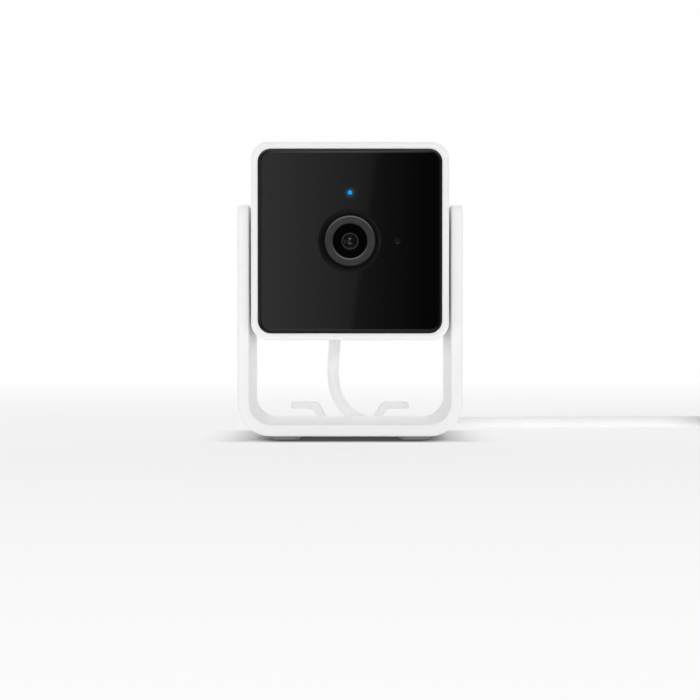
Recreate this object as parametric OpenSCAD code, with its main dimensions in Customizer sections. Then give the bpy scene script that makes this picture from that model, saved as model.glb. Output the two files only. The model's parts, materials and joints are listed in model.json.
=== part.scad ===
// Small indoor pet camera: a cube head that tilts in a U-shaped stand, with its USB power cord.
// Millimetres. +X to the viewer's right, +Y to the back, +Z up. The origin is under the middle of the
// object, on the surface that it stands on.

/* [Stand] */
// Width over both arms
stand_w = 60; // [58:0.5:66]
// Depth of the stand's strip, front to back
stand_d = 36; // [32:0.5:40]
// Thickness of the stand's strip
stand_t = 3.1; // [2.6:0.1:3.3]
// Outside radius of the two bottom bends
stand_r = 8.8; // [7:0.1:12]
// Height of the arms' tops above the table
arm_top = 62.8; // [60:0.1:68]
// Height that the feet lift the stand
foot_h = 1.2; // [0.8:0.1:2]
// Width of each rubber foot
foot_w = 8.2; // [6:0.1:10]

/* [Head] */
// Width and height of the square head
head_w = 51.6; // [50:0.1:52]
// Depth of the head, front panel to back
head_d = 47; // [46:0.5:50]
// Corner radius of the head, seen from the front
head_r = 4.5; // [4:0.1:6]
// Height of the tilt axis
pivot_z = 52.6; // [50:0.1:56]
// Distance from the tilt axis forward to the front panel
panel_reach = 26; // [25.5:0.1:26.5]
// White border around the front panel
border = 1.77; // [1.6:0.01:2]

/* [Lens] */
// Outside radius of the dark surround let into the panel
surround_r = 8.2; // [7.6:0.1:9]
// Outside radius of the raised lens ring
ring_r = 6.55; // [6.2:0.05:7]
// Inside radius of the raised lens ring
ring_bore_r = 4.48; // [4.4:0.02:4.8]
// How far the lens ring stands out from the panel
ring_proud = 1.2; // [0.6:0.1:1.6]
// Height of the status light above the lens axis
light_reach = 12.6; // [11:0.1:14]
// Distance of the microphone hole from the lens axis
mic_reach = 12.3; // [11:0.1:14]

/* [Cord] */
// Diameter of the power cord
cord_d = 3.5; // [3:0.1:3.6]
// Turns in each layer of the stored coil
coil_turns = 3.5; // [2.5:1:4.5]
// Layers in the stored coil
coil_layers = 4; // [2, 4]

/* [Hidden] */
$fn = 64;
fit = 0.05;   // radial clearance of parts that turn or slide
gap = 0.1;    // clearance between parts that are assembled

// Stand
arm_x = stand_w / 2 - stand_t;              // inner face of each arm
bar_top = foot_h + stand_t;
arm_corner_r = 2.6;                         // top corners of the arms, seen from the side
foot_sink = 0.8;                            // depth that the feet are let into the strip
bend_in_r = stand_r - 2.9;                  // inside radius of the two bottom bends
foot_x = 17.45;
foot_d = stand_d - 5;
axle_r = 4;
axle_end = 22.2;                            // inner end of the stub axles, from the middle
pilot_r = 1.25;
pivot_screw_head_r = 2.6;
cleat_d = 7.4;                              // how far the cord cleat stands out behind the strip
cleat_t = 1.85;
cleat_tab_top = 8.3;
cleat_tab_end = 17.1;
cleat_foot_x = 7.2;                         // middle of each leg at the cleat's floor
cleat_slope = 0.53;                         // sideways run of a leg for each millimetre of rise
cleat_floor = foot_h + 0.1;
tongue_w = 12;
tongue_d = 9;
tongue_t = 1.4;
stake_x = 3.5;
stake_r = 1;

// The middle of the object's depth is at y = 0
front_reach = panel_reach + ring_proud;
rear_reach = stand_d / 2 + cleat_d;
pivot_y = (front_reach - rear_reach) / 2;

// Head, measured from the tilt axis at the middle of the head
half = head_w / 2;
back = head_d - panel_reach;                // outside of the rear cover
seam = back - 4;                            // joint between shell and rear cover
cover_in = back - 2;                        // inside of the rear cover
inside = half - border;                     // inside of the shell's walls
panel_t = 1.6;
panel_play = 0.07;                          // clearance around the front panel
panel_back = -panel_reach + panel_t;
panel_w = 2 * (inside - panel_play);
panel_r = head_r - 1.3;
ledge_open = 43;
ledge_front = panel_back + 0.3;
ledge_back = ledge_front + 1.5;
front_fillet = 0.9;
rear_fillet = 3;
bush_r = 6;
flange_r = 7.4;
washer_r = 6.8;
boss_at = 20.3;                             // rear cover screws, from the middle
boss_r = 3.9;
led_board_front = ledge_back + 0.1;
frame_front = led_board_front + 1.3;
frame_back = frame_front + 1.5;
sensor_front = -6;
board_t = 1.2;
sensor_post_at = 14;
main_front = 8;
main_posts = [[-17.5, 2], [17.5, 2], [-13, -20], [13, -20]];
can_at = [5, 0, 5];                         // shield can, from the lens axis
can_t = 2.3;
pad_t = 0.8;
speaker_z = 7;
speaker_r = 13;
port_x = -4.5;
port_z = -12;
button_x = 7;
button_r = 1.93;
filter_travel = 5.5;
ir_led_at = 13.5;
ir_led_half = 1.75;
light_r = 1.2;
mic_hole_r = 0.6;
grille_pitch = 2.1;
grille_hole_r = 0.6;
barrel_r = 5.5;
small_screw_r = 0.95;
small_head_r = 2;
thread_hole_r = 1;
post_r = 2.4;

// Cord
cord_r = cord_d / 2;
cord_back = 6.5;                            // cord axis behind the rear cover
plug_w = 10;                                // width and height of the plug behind the head
plug_rear = cord_back + 3.9;                // back of that plug, behind the rear cover
plug_drop = 0.5;                            // middle of that plug below the port
cord_y = pivot_y + back + cord_back;
relief_end = -24.5;                         // lower end of the strain relief, from the tilt axis
cord_sides = 8;
coil_sides = 6;
coil_rings = 24;                            // rings in each turn
turn_pitch = cord_d + 0.5;
layer_pitch = cord_d + 0.5;
coil_min_r = 14;
coil_max_r = coil_min_r + coil_turns * turn_pitch;
coil_at = [131, 5];
tie_t = 0.5;
tie_w = 10;
tie_angle = 140;
coil_z = tie_t + 0.05 + cord_r;             // middle of the lowest layer
top_layer_z = coil_z + (coil_layers - 1) * layer_pitch;
plug_z = top_layer_z + cord_r + 4.1;        // axis of the far plug, lying on the coil
drop_route = [[port_x, cord_y, pivot_z + relief_end], [-4.6, cord_y, 24.5], [-4.9, cord_y, 20],
    [-5, cord_y, 15.8], [-4.4, cord_y, 11.3], [-2.7, cord_y, 7.5], [0.3, cord_y, 4.3],
    [4.2, cord_y, 2.4], [9, cord_y, cord_r]];
run_start = drop_route[len(drop_route) - 1];
run_end = [coil_at.x, coil_at.y + coil_max_r, coil_z];
run_steps = 12;
run_lift_from = 0.75;                       // share of the run that lies on the table
function eased(s) = s * s * (3 - 2 * s);
run_route = [for (i = [0:run_steps])
    let (s = i / run_steps, lift = max(0, s - run_lift_from) / (1 - run_lift_from))
    [run_start.x + (run_end.x - run_start.x) * s,
        run_start.y + (run_end.y - run_start.y) * eased(s),
        run_start.z + (run_end.z - run_start.z) * eased(lift)]];

// Shared shapes

// Rectangle with four round corners, about the origin
module round_rect(w, h, r) {
    square([w - 2 * r, h], center = true);
    square([w, h - 2 * r], center = true);
    for (x = [-1, 1], z = [-1, 1])
        translate([x * (w / 2 - r), z * (h / 2 - r)]) circle(r);
}

// Stretches an outline drawn in X and Z from y0 back to y1
module along_y(y0, y1) {
    translate([0, y1, 0]) rotate([90, 0, 0]) linear_extrude(y1 - y0) children();
}

// Stretches an outline drawn in Y and Z from x0 to x1
module along_x(x0, x1) {
    translate([x0, 0, 0]) rotate([90, 0, 90]) linear_extrude(x1 - x0) children();
}

// Round bar along Y
module bar_y(r, y0, y1) {
    translate([0, y0, 0]) rotate([-90, 0, 0]) cylinder(r = r, h = y1 - y0);
}

// Round bar along X
module bar_x(r, x0, x1) {
    translate([x0, 0, 0]) rotate([0, 90, 0]) cylinder(r = r, h = x1 - x0);
}

// Ring along Y
module ring_y(r_out, r_in, y0, y1) {
    difference() {
        bar_y(r_out, y0, y1);
        bar_y(r_in, y0 - 1, y1 + 1);
    }
}

// Ring along X
module ring_x(r_out, r_in, x0, x1) {
    difference() {
        bar_x(r_out, x0, x1);
        bar_x(r_in, x0 - 1, x1 + 1);
    }
}

// Block from one corner to the other
module block(low, high) {
    translate(low) cube(high - low);
}

// Turns a profile of radius and depth points around the Y axis
module turned(profile) {
    rotate([-90, 0, 0]) rotate_extrude() polygon(profile);
}

// Places head parts, which are drawn about the tilt axis
module at_head() {
    translate([0, pivot_y, pivot_z]) children();
}

// Copies to the left and right sides
module both_sides() {
    children();
    mirror([1, 0, 0]) children();
}

// Disc with one rounded rim, along Y, at the corner of a soft-edged box
module soft_corner(r, fillet, y_soft, y_flat) {
    way = sign(y_flat - y_soft);
    steps = 6;
    turned(concat([[0, y_flat], [0, y_soft]],
        [for (i = [0:steps]) let (a = 90 * i / steps)
            [r - fillet + fillet * sin(a), y_soft + way * fillet * (1 - cos(a))]],
        [[r, y_flat]]));
}

// Square body with round corners and one rounded rim
module soft_box(w, r, fillet, y_soft, y_flat) {
    hull() for (x = [-1, 1], z = [-1, 1])
        translate([x * (w / 2 - r), 0, z * (w / 2 - r)]) soft_corner(r, fillet, y_soft, y_flat, $fn = 32);
}

// Screw with a pan head, pointing along Y from the head at y_head
module screw_y(head_r, head_t, shank_r, y_head, y_tip) {
    way = sign(y_tip - y_head);
    seat = y_head + way * head_t;
    bar_y(head_r, min(y_head, seat), max(y_head, seat));
    bar_y(shank_r, min(y_head, y_tip), max(y_head, y_tip));
}

// Stand

// U-shaped outline, open at the top
module u_outline(half_w, bottom, r) {
    translate([-half_w, bottom + r]) square([2 * half_w, arm_top - bottom - r + 1]);
    translate([-half_w + r, bottom]) square([2 * (half_w - r), r + 1]);
    for (x = [-1, 1]) translate([x * (half_w - r), bottom + r]) circle(r);
}

module u_strip() {
    intersection() {
        along_y(-stand_d / 2, stand_d / 2) difference() {
            u_outline(stand_w / 2, foot_h, stand_r);
            u_outline(arm_x, bar_top, bend_in_r);
        }
        along_x(-stand_w, stand_w) translate([0, arm_top / 2]) round_rect(stand_d, arm_top, arm_corner_r);
    }
}

module foot_outline(extra = 0) {
    round_rect(foot_w + 2 * extra, foot_d + 2 * extra, 2.5 + extra);
}

module tongue_outline(extra = 0) {
    translate([0, stand_d / 2 - tongue_d / 2 + 0.5])
        square([tongue_w + 2 * extra, tongue_d + 1 + 2 * extra], center = true);
}

module stand_bracket() {
    color("white") translate([0, pivot_y, 0]) {
        difference() {
            union() {
                u_strip();
                translate([0, 0, pivot_z]) both_sides() bar_x(axle_r, axle_end, arm_x + 1);
            }
            for (x = [-foot_x, foot_x]) translate([x, 0, foot_h - 1])
                linear_extrude(1 + foot_sink + gap / 2) foot_outline(gap / 2);
            translate([0, 0, foot_h - 1]) linear_extrude(1 + tongue_t + 0.2) tongue_outline(gap);
            translate([0, 0, pivot_z]) both_sides() bar_x(pilot_r, axle_end - 1, axle_end + 6.2);
        }
        for (x = [-stake_x, stake_x]) translate([x, stand_d / 2 - tongue_d / 2, cleat_floor])
            cylinder(r = stake_r, h = tongue_t + 1);
    }
}

module foot(side) {
    color("dimgray") translate([side * foot_x, pivot_y, 0])
        linear_extrude(foot_h + foot_sink) foot_outline();
}

// Half of the cleat's section, from the middle of its floor out to the end of a tab
function cleat_leg_x(z) = cleat_foot_x + cleat_slope * (z - cleat_floor - cleat_t / 2);
module cleat_half() {
    leg_half = 1.15;
    tab_low = cleat_tab_top - cleat_t;
    floor_top = cleat_floor + cleat_t - 0.2;
    polygon([[0, cleat_floor], [cleat_leg_x(cleat_floor) + leg_half, cleat_floor],
        [cleat_leg_x(tab_low - 0.9) + leg_half, tab_low - 0.9],
        [cleat_leg_x(tab_low) + leg_half + 0.9, tab_low],
        [cleat_tab_end, tab_low], [cleat_tab_end, cleat_tab_top],
        [cleat_leg_x(cleat_tab_top) - leg_half + 0.6, cleat_tab_top],
        [cleat_leg_x(cleat_tab_top - 0.9) - leg_half, cleat_tab_top - 0.9],
        [cleat_leg_x(floor_top) - leg_half, floor_top], [0, floor_top]]);
}

module cord_cleat() {
    start = stand_d / 2 + gap;
    color("white") translate([0, pivot_y, 0]) difference() {
        union() {
            along_y(start, stand_d / 2 + cleat_d) both_sides() cleat_half();
            translate([0, 0, cleat_floor]) linear_extrude(tongue_t) tongue_outline();
        }
        for (x = [-stake_x, stake_x]) translate([x, stand_d / 2 - tongue_d / 2, 0])
            cylinder(r = stake_r + fit, h = cleat_floor + tongue_t + 1);
    }
}

module friction_ring(side) {
    color("lightgray") at_head() mirror([side < 0 ? 1 : 0, 0, 0])
        ring_x(flange_r, axle_r + gap, half + fit, arm_x - fit);
}

module pivot_springs() {
    color("silver") at_head() both_sides()
        ring_x(washer_r - 0.4, axle_r + gap, axle_end + 0.05, axle_end + 0.55);
}

module pivot_washers() {
    color("silver") at_head() both_sides() ring_x(washer_r, pilot_r + gap, axle_end - 0.65, axle_end);
}

module pivot_screws() {
    head_end = axle_end - 0.65;
    color("dimgray") at_head() both_sides() {
        bar_x(pivot_screw_head_r, head_end - 1.5, head_end);
        bar_x(pilot_r - fit, head_end - 1, axle_end + 5.8);
    }
}

// Head casing

module head_shell() {
    color("white") at_head() difference() {
        union() {
            difference() {
                soft_box(head_w, head_r, front_fillet, -panel_reach, seam);
                along_y(-panel_reach - 1, panel_back + 0.3) round_rect(2 * inside, 2 * inside, panel_r);
                along_y(-panel_reach, ledge_back + 1) round_rect(ledge_open, ledge_open, 2);
                along_y(ledge_back, seam + 1) round_rect(2 * inside, 2 * inside, panel_r);
            }
            intersection() {
                for (x = [-boss_at, boss_at], z = [-boss_at, boss_at])
                    translate([x, 0, z]) bar_y(boss_r, main_front + 1.6, seam - 0.1);
                along_y(0, seam) round_rect(2 * inside + 1, 2 * inside + 1, panel_r);
            }
        }
        both_sides() bar_x(bush_r, inside - 1, half + 1);
        for (x = [-boss_at, boss_at], z = [-boss_at, boss_at]) translate([x, 0, z])
            bar_y(thread_hole_r, main_front, seam + 1);
    }
}

module grille_holes() {
    for (ring = [1:4], k = [0:6 * ring - 1]) let (a = 60 * k / ring)
        translate(grille_pitch * ring * [cos(a), 0, sin(a)]) bar_y(grille_hole_r, cover_in - 1, back + 1);
    bar_y(grille_hole_r, cover_in - 1, back + 1);
}

module rear_cover() {
    lip = inside - gap;
    color("white") at_head() difference() {
        union() {
            difference() {
                soft_box(head_w, head_r, rear_fillet, back, seam + 0.05);
                along_y(seam - 1, cover_in) round_rect(2 * inside - 1.6, 2 * inside - 1.6, panel_r);
            }
            for (a = [0:90:270]) rotate([0, a, 0]) block([-14, seam - 2.4, lip - 1], [14, seam + 1, lip]);
            for (p = main_posts) translate([p.x, 0, p.y])
                bar_y(post_r, main_front + board_t + 0.05, cover_in + 0.5);
            for (x = [-boss_at, boss_at], z = [-boss_at, boss_at]) translate([x, 0, z])
                bar_y(3.2, seam + 0.05, cover_in + 0.5);
        }
        translate([0, 0, speaker_z]) grille_holes();
        translate([port_x, 0, port_z]) along_y(cover_in - 1, back + 1) round_rect(8.6, 3.6, 0.8);
        translate([button_x, 0, port_z]) bar_y(button_r + 0.07, cover_in - 1, back + 1);
        for (p = main_posts) translate([p.x, 0, p.y]) bar_y(thread_hole_r, main_front, cover_in - 0.5);
        for (x = [-boss_at, boss_at], z = [-boss_at, boss_at]) translate([x, 0, z]) {
            bar_y(1.3, seam - 1, back + 1);
            bar_y(2.2, cover_in + 0.6, back + 1);
        }
    }
}

module front_panel() {
    color("black") at_head() difference() {
        along_y(-panel_reach, panel_back) round_rect(panel_w, panel_w, panel_r);
        bar_y(surround_r, -panel_reach - 1, panel_back + 1);
        translate([0, 0, light_reach]) bar_y(light_r, -panel_reach - 1, panel_back + 1);
        translate([mic_reach, 0, 0]) bar_y(mic_hole_r, -panel_reach - 1, panel_back + 1);
    }
}

module panel_tape() {
    color("black") at_head() along_y(panel_back + 0.02, ledge_front - 0.02) difference() {
        round_rect(panel_w - 0.6, panel_w - 0.6, panel_r - 0.3);
        round_rect(ledge_open + 0.4, ledge_open + 0.4, 2);
    }
}

module rear_cover_screws() {
    color("silver") at_head() for (x = [-boss_at, boss_at], z = [-boss_at, boss_at])
        translate([x, 0, z]) screw_y(small_head_r, 1.1, small_screw_r, cover_in + 1.75, seam - 5);
}

module pivot_bush(side) {
    color("gainsboro") at_head() mirror([side < 0 ? 1 : 0, 0, 0]) difference() {
        union() {
            bar_x(bush_r - 0.02, inside - 1, half);
            bar_x(flange_r, axle_end + 0.6, inside - 0.03);
        }
        bar_x(axle_r + fit, 0, half + 1);
    }
}

// Lens and sensor

module lens_surround() {
    face = -panel_reach;
    color("#141414") at_head() turned([[ring_r + fit, face + 0.5], [surround_r - fit, face + 0.05],
        [surround_r - fit, panel_back + 0.05], [surround_r + 1.4, panel_back + 0.05],
        [surround_r + 1.4, panel_back + 1], [ring_r + fit, panel_back + 1]]);
}

module lens_ring() {
    face = -panel_reach - ring_proud;
    bevel = 0.28;
    color("#383838") at_head() turned([[ring_bore_r + bevel, face], [ring_r - bevel, face],
        [ring_r, face + bevel], [ring_r, panel_back + 1],
        [ring_bore_r, panel_back + 1], [ring_bore_r, face + bevel]]);
}

module lens_barrel() {
    bore_r = 2.3;
    tail_bore_r = 2.6;
    mouth = -26.3;
    step = -20;
    tail = -10;
    color("#0a0a0a") at_head() turned([[bore_r, mouth + 1], [ring_bore_r - fit, mouth],
        [ring_bore_r - fit, panel_back + 1.1], [barrel_r, panel_back + 1.1], [barrel_r, tail],
        [tail_bore_r, tail], [tail_bore_r, step], [bore_r, step]]);
}

module lens_retainer() {
    color("#3a3a3a") at_head() ring_y(2.27, 1.8, -25.25, -24.6);
}

// Lens with one bulging face, apex at y_apex, edge from y_edge to y_flat
module bulged_lens(r, bulge_r, y_apex, y_edge, y_flat, sphere_r) {
    bar_y(r, y_edge, y_flat);
    intersection() {
        bar_y(bulge_r, y_apex - 1, y_edge + 0.1);
        translate([0, y_apex + sphere_r, 0]) sphere(sphere_r);
    }
}

module front_lens() {
    color("slategray", 0.6) at_head() bulged_lens(2.27, 1.75, -25.05, -24.55, -22.5, 3.3);
}

module rear_lens() {
    color("slategray", 0.6) at_head() bulged_lens(2.55, 2.3, -14.6, -14, -11.5, 5);
}

module lens_holder() {
    color("#161616") at_head() difference() {
        union() {
            block([-7, -17, -7], [7, -9, 7]);
            block([-10.8, -10.4, -7], [10.8, sensor_front - 0.05, 7]);
        }
        bar_y(barrel_r + fit, -18, -10);
        bar_y(3, -11, -7.2);
        block([-9.4, -9.5, -4.7], [9.4, -7.9, 4.7]);
        block([-4.2, -7.3, -3.7], [4.2, sensor_front + 1, 3.7]);
    }
}

module ir_cut_coil() {
    color("#b87333") at_head() translate([0, 0, -9.4]) block([-5, -13, -2], [5, -8, 2]);
}

module ir_cut_slider() {
    middle = filter_travel / 2;
    color("dimgray") at_head() difference() {
        block([middle - 6.2, -9.3, -4.4], [middle + 6.2, -8.1, 4.4]);
        for (x = [0, filter_travel]) block([x - 2.4, -10, -2.4], [x + 2.4, -7, 2.4]);
    }
}

module filter_pane(x) {
    at_head() block([x - 2.35, -9, -2.35], [x + 2.35, -8.4, 2.35]);
}

module ir_filter() {
    color("mediumvioletred", 0.6) filter_pane(0);
}

module clear_filter() {
    color("lightcyan", 0.5) filter_pane(filter_travel);
}

module image_sensor() {
    color("darkslategray") at_head() block([-3.6, sensor_front - 0.9, -3.2], [3.6, sensor_front - 0.02, 3.2]);
}

// Boards and electronics

module sensor_board() {
    color("darkgreen") at_head() difference() {
        along_y(sensor_front, sensor_front + board_t) round_rect(34, 34, 1.5);
        for (x = [-sensor_post_at, sensor_post_at], z = [-sensor_post_at, sensor_post_at])
            translate([x, 0, z]) bar_y(1.1, sensor_front - 1, 0);
    }
}

module inner_frame() {
    outer = 2 * inside - 1;
    color("#202020") at_head() difference() {
        union() {
            along_y(frame_front, frame_back) round_rect(outer, outer, panel_r - 0.5);
            along_y(ledge_back + 0.05, frame_front + 0.1) difference() {
                round_rect(outer, outer, panel_r - 0.5);
                round_rect(ledge_open + 0.2, ledge_open + 0.2, 2);
            }
            for (x = [-sensor_post_at, sensor_post_at], z = [-sensor_post_at, sensor_post_at])
                translate([x, 0, z]) bar_y(post_r, frame_front + 0.5, sensor_front - 0.02);
        }
        bar_y(6.5, frame_front - 1, frame_back + 1);
        for (x = [-sensor_post_at, sensor_post_at], z = [-sensor_post_at, sensor_post_at])
            translate([x, 0, z]) bar_y(thread_hole_r, sensor_front - 8, sensor_front + 1);
    }
}

module sensor_screws() {
    y_head = sensor_front + board_t + 1.35;
    color("silver") at_head() for (x = [-1, 1], z = [-1, 1]) translate(sensor_post_at * [x, 0, z])
        screw_y(small_head_r, 1.3, small_screw_r, y_head, sensor_front - 7);
}

module ir_led_board() {
    color("darkgreen") at_head() difference() {
        along_y(led_board_front, led_board_front + board_t) round_rect(42, 42, 1.5);
        bar_y(surround_r + 1.6, led_board_front - 1, frame_front);
    }
}

module ir_leds() {
    color("lavender", 0.8) at_head() for (x = [-1, 1], z = [-1, 1]) translate(ir_led_at * [x, 0, z])
        block([-ir_led_half, led_board_front - 1.6, -ir_led_half],
            [ir_led_half, led_board_front - 0.02, ir_led_half]);
}

module status_led() {
    color("aliceblue") at_head() translate([0, 0, light_reach])
        block([-0.8, led_board_front - 0.7, -0.4], [0.8, led_board_front - 0.02, 0.4]);
}

module light_pipe() {
    color("deepskyblue", 0.8) at_head() translate([0, 0, light_reach]) {
        bar_y(light_r - fit, -panel_reach, panel_back + 0.2);
        bar_y(1.6, panel_back + 0.1, led_board_front - 0.75);
    }
}

module microphone() {
    color("goldenrod") at_head() translate([mic_reach, 0, 0])
        block([-1.4, led_board_front - 0.9, -1.8], [1.4, led_board_front - 0.02, 1.8]);
}

module mic_boot() {
    color("#252525") at_head() translate([mic_reach, 0, 0])
        ring_y(1.5, mic_hole_r, panel_back + 0.05, led_board_front - 0.95);
}

// Flat cable between the two boards, with one fold
module board_flex() {
    fold_r = 2.2;
    film_t = 0.3;
    mid_z = -14.5;
    start = sensor_front + board_t + 0.1;
    fold_y = main_front - 0.1 - film_t - fold_r;
    color("chocolate") at_head() along_x(-5, 5) {
        translate([start, mid_z]) square([fold_y - start, film_t]);
        translate([fold_y, mid_z + fold_r + film_t]) intersection() {
            difference() {
                circle(fold_r + film_t);
                circle(fold_r);
            }
            translate([0, -2 * fold_r]) square(2 * fold_r);
        }
    }
}

module main_board() {
    color("darkgreen") at_head() difference() {
        along_y(main_front, main_front + board_t) round_rect(43, 43, 1.5);
        for (p = main_posts) translate([p.x, 0, p.y]) bar_y(1.1, main_front - 1, main_front + board_t + 1);
    }
}

module main_board_screws() {
    color("silver") at_head() for (p = main_posts) translate([p.x, 0, p.y])
        screw_y(small_head_r, 1.3, small_screw_r, main_front - 1.35, main_front + 7);
}

module shield_can() {
    color("silver") at_head() translate(can_at)
        block([-9, main_front - can_t, -8], [9, main_front - 0.02, 8]);
}

module thermal_pad() {
    color("lightsteelblue") at_head() translate(can_at)
        block([-8, main_front - can_t - pad_t, -7], [8, main_front - can_t - 0.03, 7]);
}

module heat_spreader() {
    color("gainsboro") at_head()
        block([-13, main_front - can_t - pad_t - 1.1, -9], [15, main_front - can_t - pad_t - 0.03, 15]);
}

module wifi_antenna() {
    color("darkkhaki") at_head() block([-14, 8.2, inside - 1], [14, 14.2, inside - 0.1]);
}

module speaker_magnet() {
    color("gray") at_head() translate([0, 0, speaker_z]) bar_y(7, main_front + board_t + 0.3, 11.9);
}

module speaker_frame() {
    color("#2a2a2a") at_head() translate([0, 0, speaker_z])
        turned([[0, 11.95], [7.5, 11.95], [speaker_r, 15], [speaker_r, 17.3], [speaker_r - 1.6, 17.3],
            [speaker_r - 1.6, 15.6], [6.6, 13], [0, 13]]);
}

module speaker_cone() {
    color("#3a3a3a") at_head() translate([0, 0, speaker_z])
        turned([[0, 14.2], [3.5, 14.6], [speaker_r - 1.7, 16.6], [speaker_r - 1.7, 17.2],
            [3.5, 15.2], [0, 14.8]]);
}

module speaker_gasket() {
    color("#303030") at_head() translate([0, 0, speaker_z])
        ring_y(speaker_r - 0.2, speaker_r - 2.2, 17.35, cover_in - 0.05);
}

module usb_socket() {
    color("silver") at_head() translate([port_x, 0, port_z]) difference() {
        along_y(main_front + board_t + 0.02, back - 0.8) round_rect(8, 3, 0.6);
        block([-3.5, main_front + board_t + 2, -0.98], [3.5, back + 1, 0.98]);
    }
}

module reset_switch() {
    color("#505050") at_head() translate([button_x, 0, port_z]) {
        block([-2.2, main_front + board_t + 0.02, -2.2], [2.2, main_front + board_t + 2.2, 2.2]);
        bar_y(1.2, main_front + board_t + 2, main_front + board_t + 2.8);
    }
}

module reset_button() {
    color("whitesmoke") at_head() translate([button_x, 0, port_z]) {
        bar_y(button_r, main_front + board_t + 3.4, back + 0.3);
        bar_y(2.9, cover_in - 1.7, cover_in - 0.1);
    }
}

// Cord and its plugs

module usb_plug_tip() {
    color("silver") at_head() translate([port_x, 0, port_z])
        block([-3.42, main_front + board_t + 4, -0.9], [3.42, back + 0.3, 0.9]);
}

// Right-angle plug body behind the head
module usb_plug() {
    color("white") at_head() translate([port_x, 0, 0]) intersection() {
        along_y(back + 0.3, back + plug_rear) translate([0, port_z - plug_drop])
            round_rect(plug_w, plug_w, 2.4);
        along_x(-plug_w, plug_w) translate([back + plug_rear / 2, port_z - plug_drop])
            round_rect(plug_rear, plug_w, 1.6);
    }
}

module plug_strain_relief() {
    color("white") at_head() translate([port_x, back + cord_back, relief_end]) {
        difference() {
            cylinder(r1 = cord_r + 0.5, r2 = 3.3, h = port_z - plug_drop - plug_w / 2 - 0.02 - relief_end);
            for (z = [1.2:1.7:5]) translate([0, 0, z]) difference() {
                cylinder(r = 6, h = 0.7);
                translate([0, 0, -1]) cylinder(r = cord_r + 0.35, h = 3);
            }
        }
    }
}

function unit(v) = v / norm(v);

// Direction of a route at each of its points
function heading(route, i) = unit(route[min(i + 1, len(route) - 1)] - route[max(i - 1, 0)]);

// Ring of points around a route's point, turned from the side direction
function ring_points(p, way, ref, r, sides) = let (side = unit(cross(way, ref)), rise = cross(side, way))
    [for (k = [0:sides - 1]) let (a = 360 * (k + 0.5) / sides) p + r * (cos(a) * side + sin(a) * rise)];

// Tube along a route: ref is a direction that the route never runs along
module tube(route, r, ref, sides, first_way, last_way) {
    n = len(route);
    way = [for (i = [0:n - 1]) i == 0 ? first_way : i == n - 1 ? last_way : heading(route, i)];
    points = [for (i = [0:n - 1]) each ring_points(route[i], way[i], ref, r, sides)];
    last = (n - 1) * sides;
    walls = [for (i = [0:n - 2], k = [0:sides - 1])
        let (a = i * sides + k, b = i * sides + (k + 1) % sides, c = a + sides, d = b + sides)
        each [[a, b, d], [a, d, c]]];
    ends = [for (k = [1:sides - 2]) each [[0, k + 1, k], [last, last + k, last + k + 1]]];
    polyhedron(points, concat(walls, ends), convexity = 10);
}

// The coil winds clockwise seen from above. Each layer spirals in or out at a steady rate, and the cord
// climbs to the next layer in the half turn around each reversal.
layer_steps = coil_turns * coil_rings;
climb_steps = coil_rings / 4;
function coil_layer(i) = min(floor(i / layer_steps), coil_layers - 1);
function coil_radius(i) = let (layer = coil_layer(i), part = i / layer_steps - layer)
    coil_min_r + (layer % 2 == 0 ? 1 - part : part) * (coil_max_r - coil_min_r);
function coil_rise(i) = let (near = round(i / layer_steps), off = i - near * layer_steps)
    near > 0 && near < coil_layers && abs(off) < climb_steps
        ? (near - 0.5 + off / climb_steps / 2) * layer_pitch
        : coil_layer(i) * layer_pitch;
function coil_point(i) = let (a = 90 - 360 * i / coil_rings)
    [coil_at.x + coil_radius(i) * cos(a), coil_at.y + coil_radius(i) * sin(a), coil_z + coil_rise(i)];
coil_steps = coil_layers * layer_steps;

// The last stretch climbs along the outer turn, bends in over the top and runs straight into the far plug
climb_arc = 70;
climb_points = 7;
bend_r = 12;
bend_points = 8;
climb_end = 90 - climb_arc;
bend_middle = (coil_max_r - bend_r) * [cos(climb_end), sin(climb_end), 0];
function climb_point(j) = let (s = j / climb_points, a = 90 - climb_arc * s)
    [coil_max_r * cos(a), coil_max_r * sin(a), (plug_z - top_layer_z) * eased(s)];
function bend_point(j) = let (a = climb_end - (climb_end + 90) * j / bend_points)
    bend_middle + [bend_r * cos(a), bend_r * sin(a), plug_z - top_layer_z];
tail_way = [-1, 0, 0];
tail_from = [coil_at.x, coil_at.y, top_layer_z];
tail_end = tail_from + bend_point(bend_points) + tail_way * cord_d;
climb = [for (j = [1:climb_points]) tail_from + climb_point(j)];
bend = [for (j = [1:bend_points]) tail_from + bend_point(j)];
coil_route = concat([for (i = [0:coil_steps]) coil_point(i)], climb, bend, [tail_end]);

// Least clear space between turns: points less than half a turn apart along the cord don't count
coil_gaps = [for (i = [0:len(coil_route) - 1]) for (j = [i + coil_rings / 2:1:len(coil_route) - 1])
    norm(coil_route[j] - coil_route[i])];
echo(least_gap_between_turns = min(coil_gaps) - cord_d);

function route_length(route) = len(route) < 2 ? 0
    : [for (i = [0:len(route) - 2]) norm(route[i + 1] - route[i])] * [for (i = [0:len(route) - 2]) 1];
echo(cord_length = route_length(drop_route) + route_length(run_route) + route_length(coil_route));

module cord_drop() {
    color("white") tube(drop_route, cord_r, [0, 1, 0], cord_sides, [0, 0, -1], [1, 0, 0]);
}

module cord_run() {
    color("white") tube(run_route, cord_r, [0, 0, 1], cord_sides, [1, 0, 0], [1, 0, 0]);
}

module cord_coil() {
    color("white") tube(coil_route, cord_r, [0, 0, 1], coil_sides, [1, 0, 0], tail_way);
}

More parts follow.
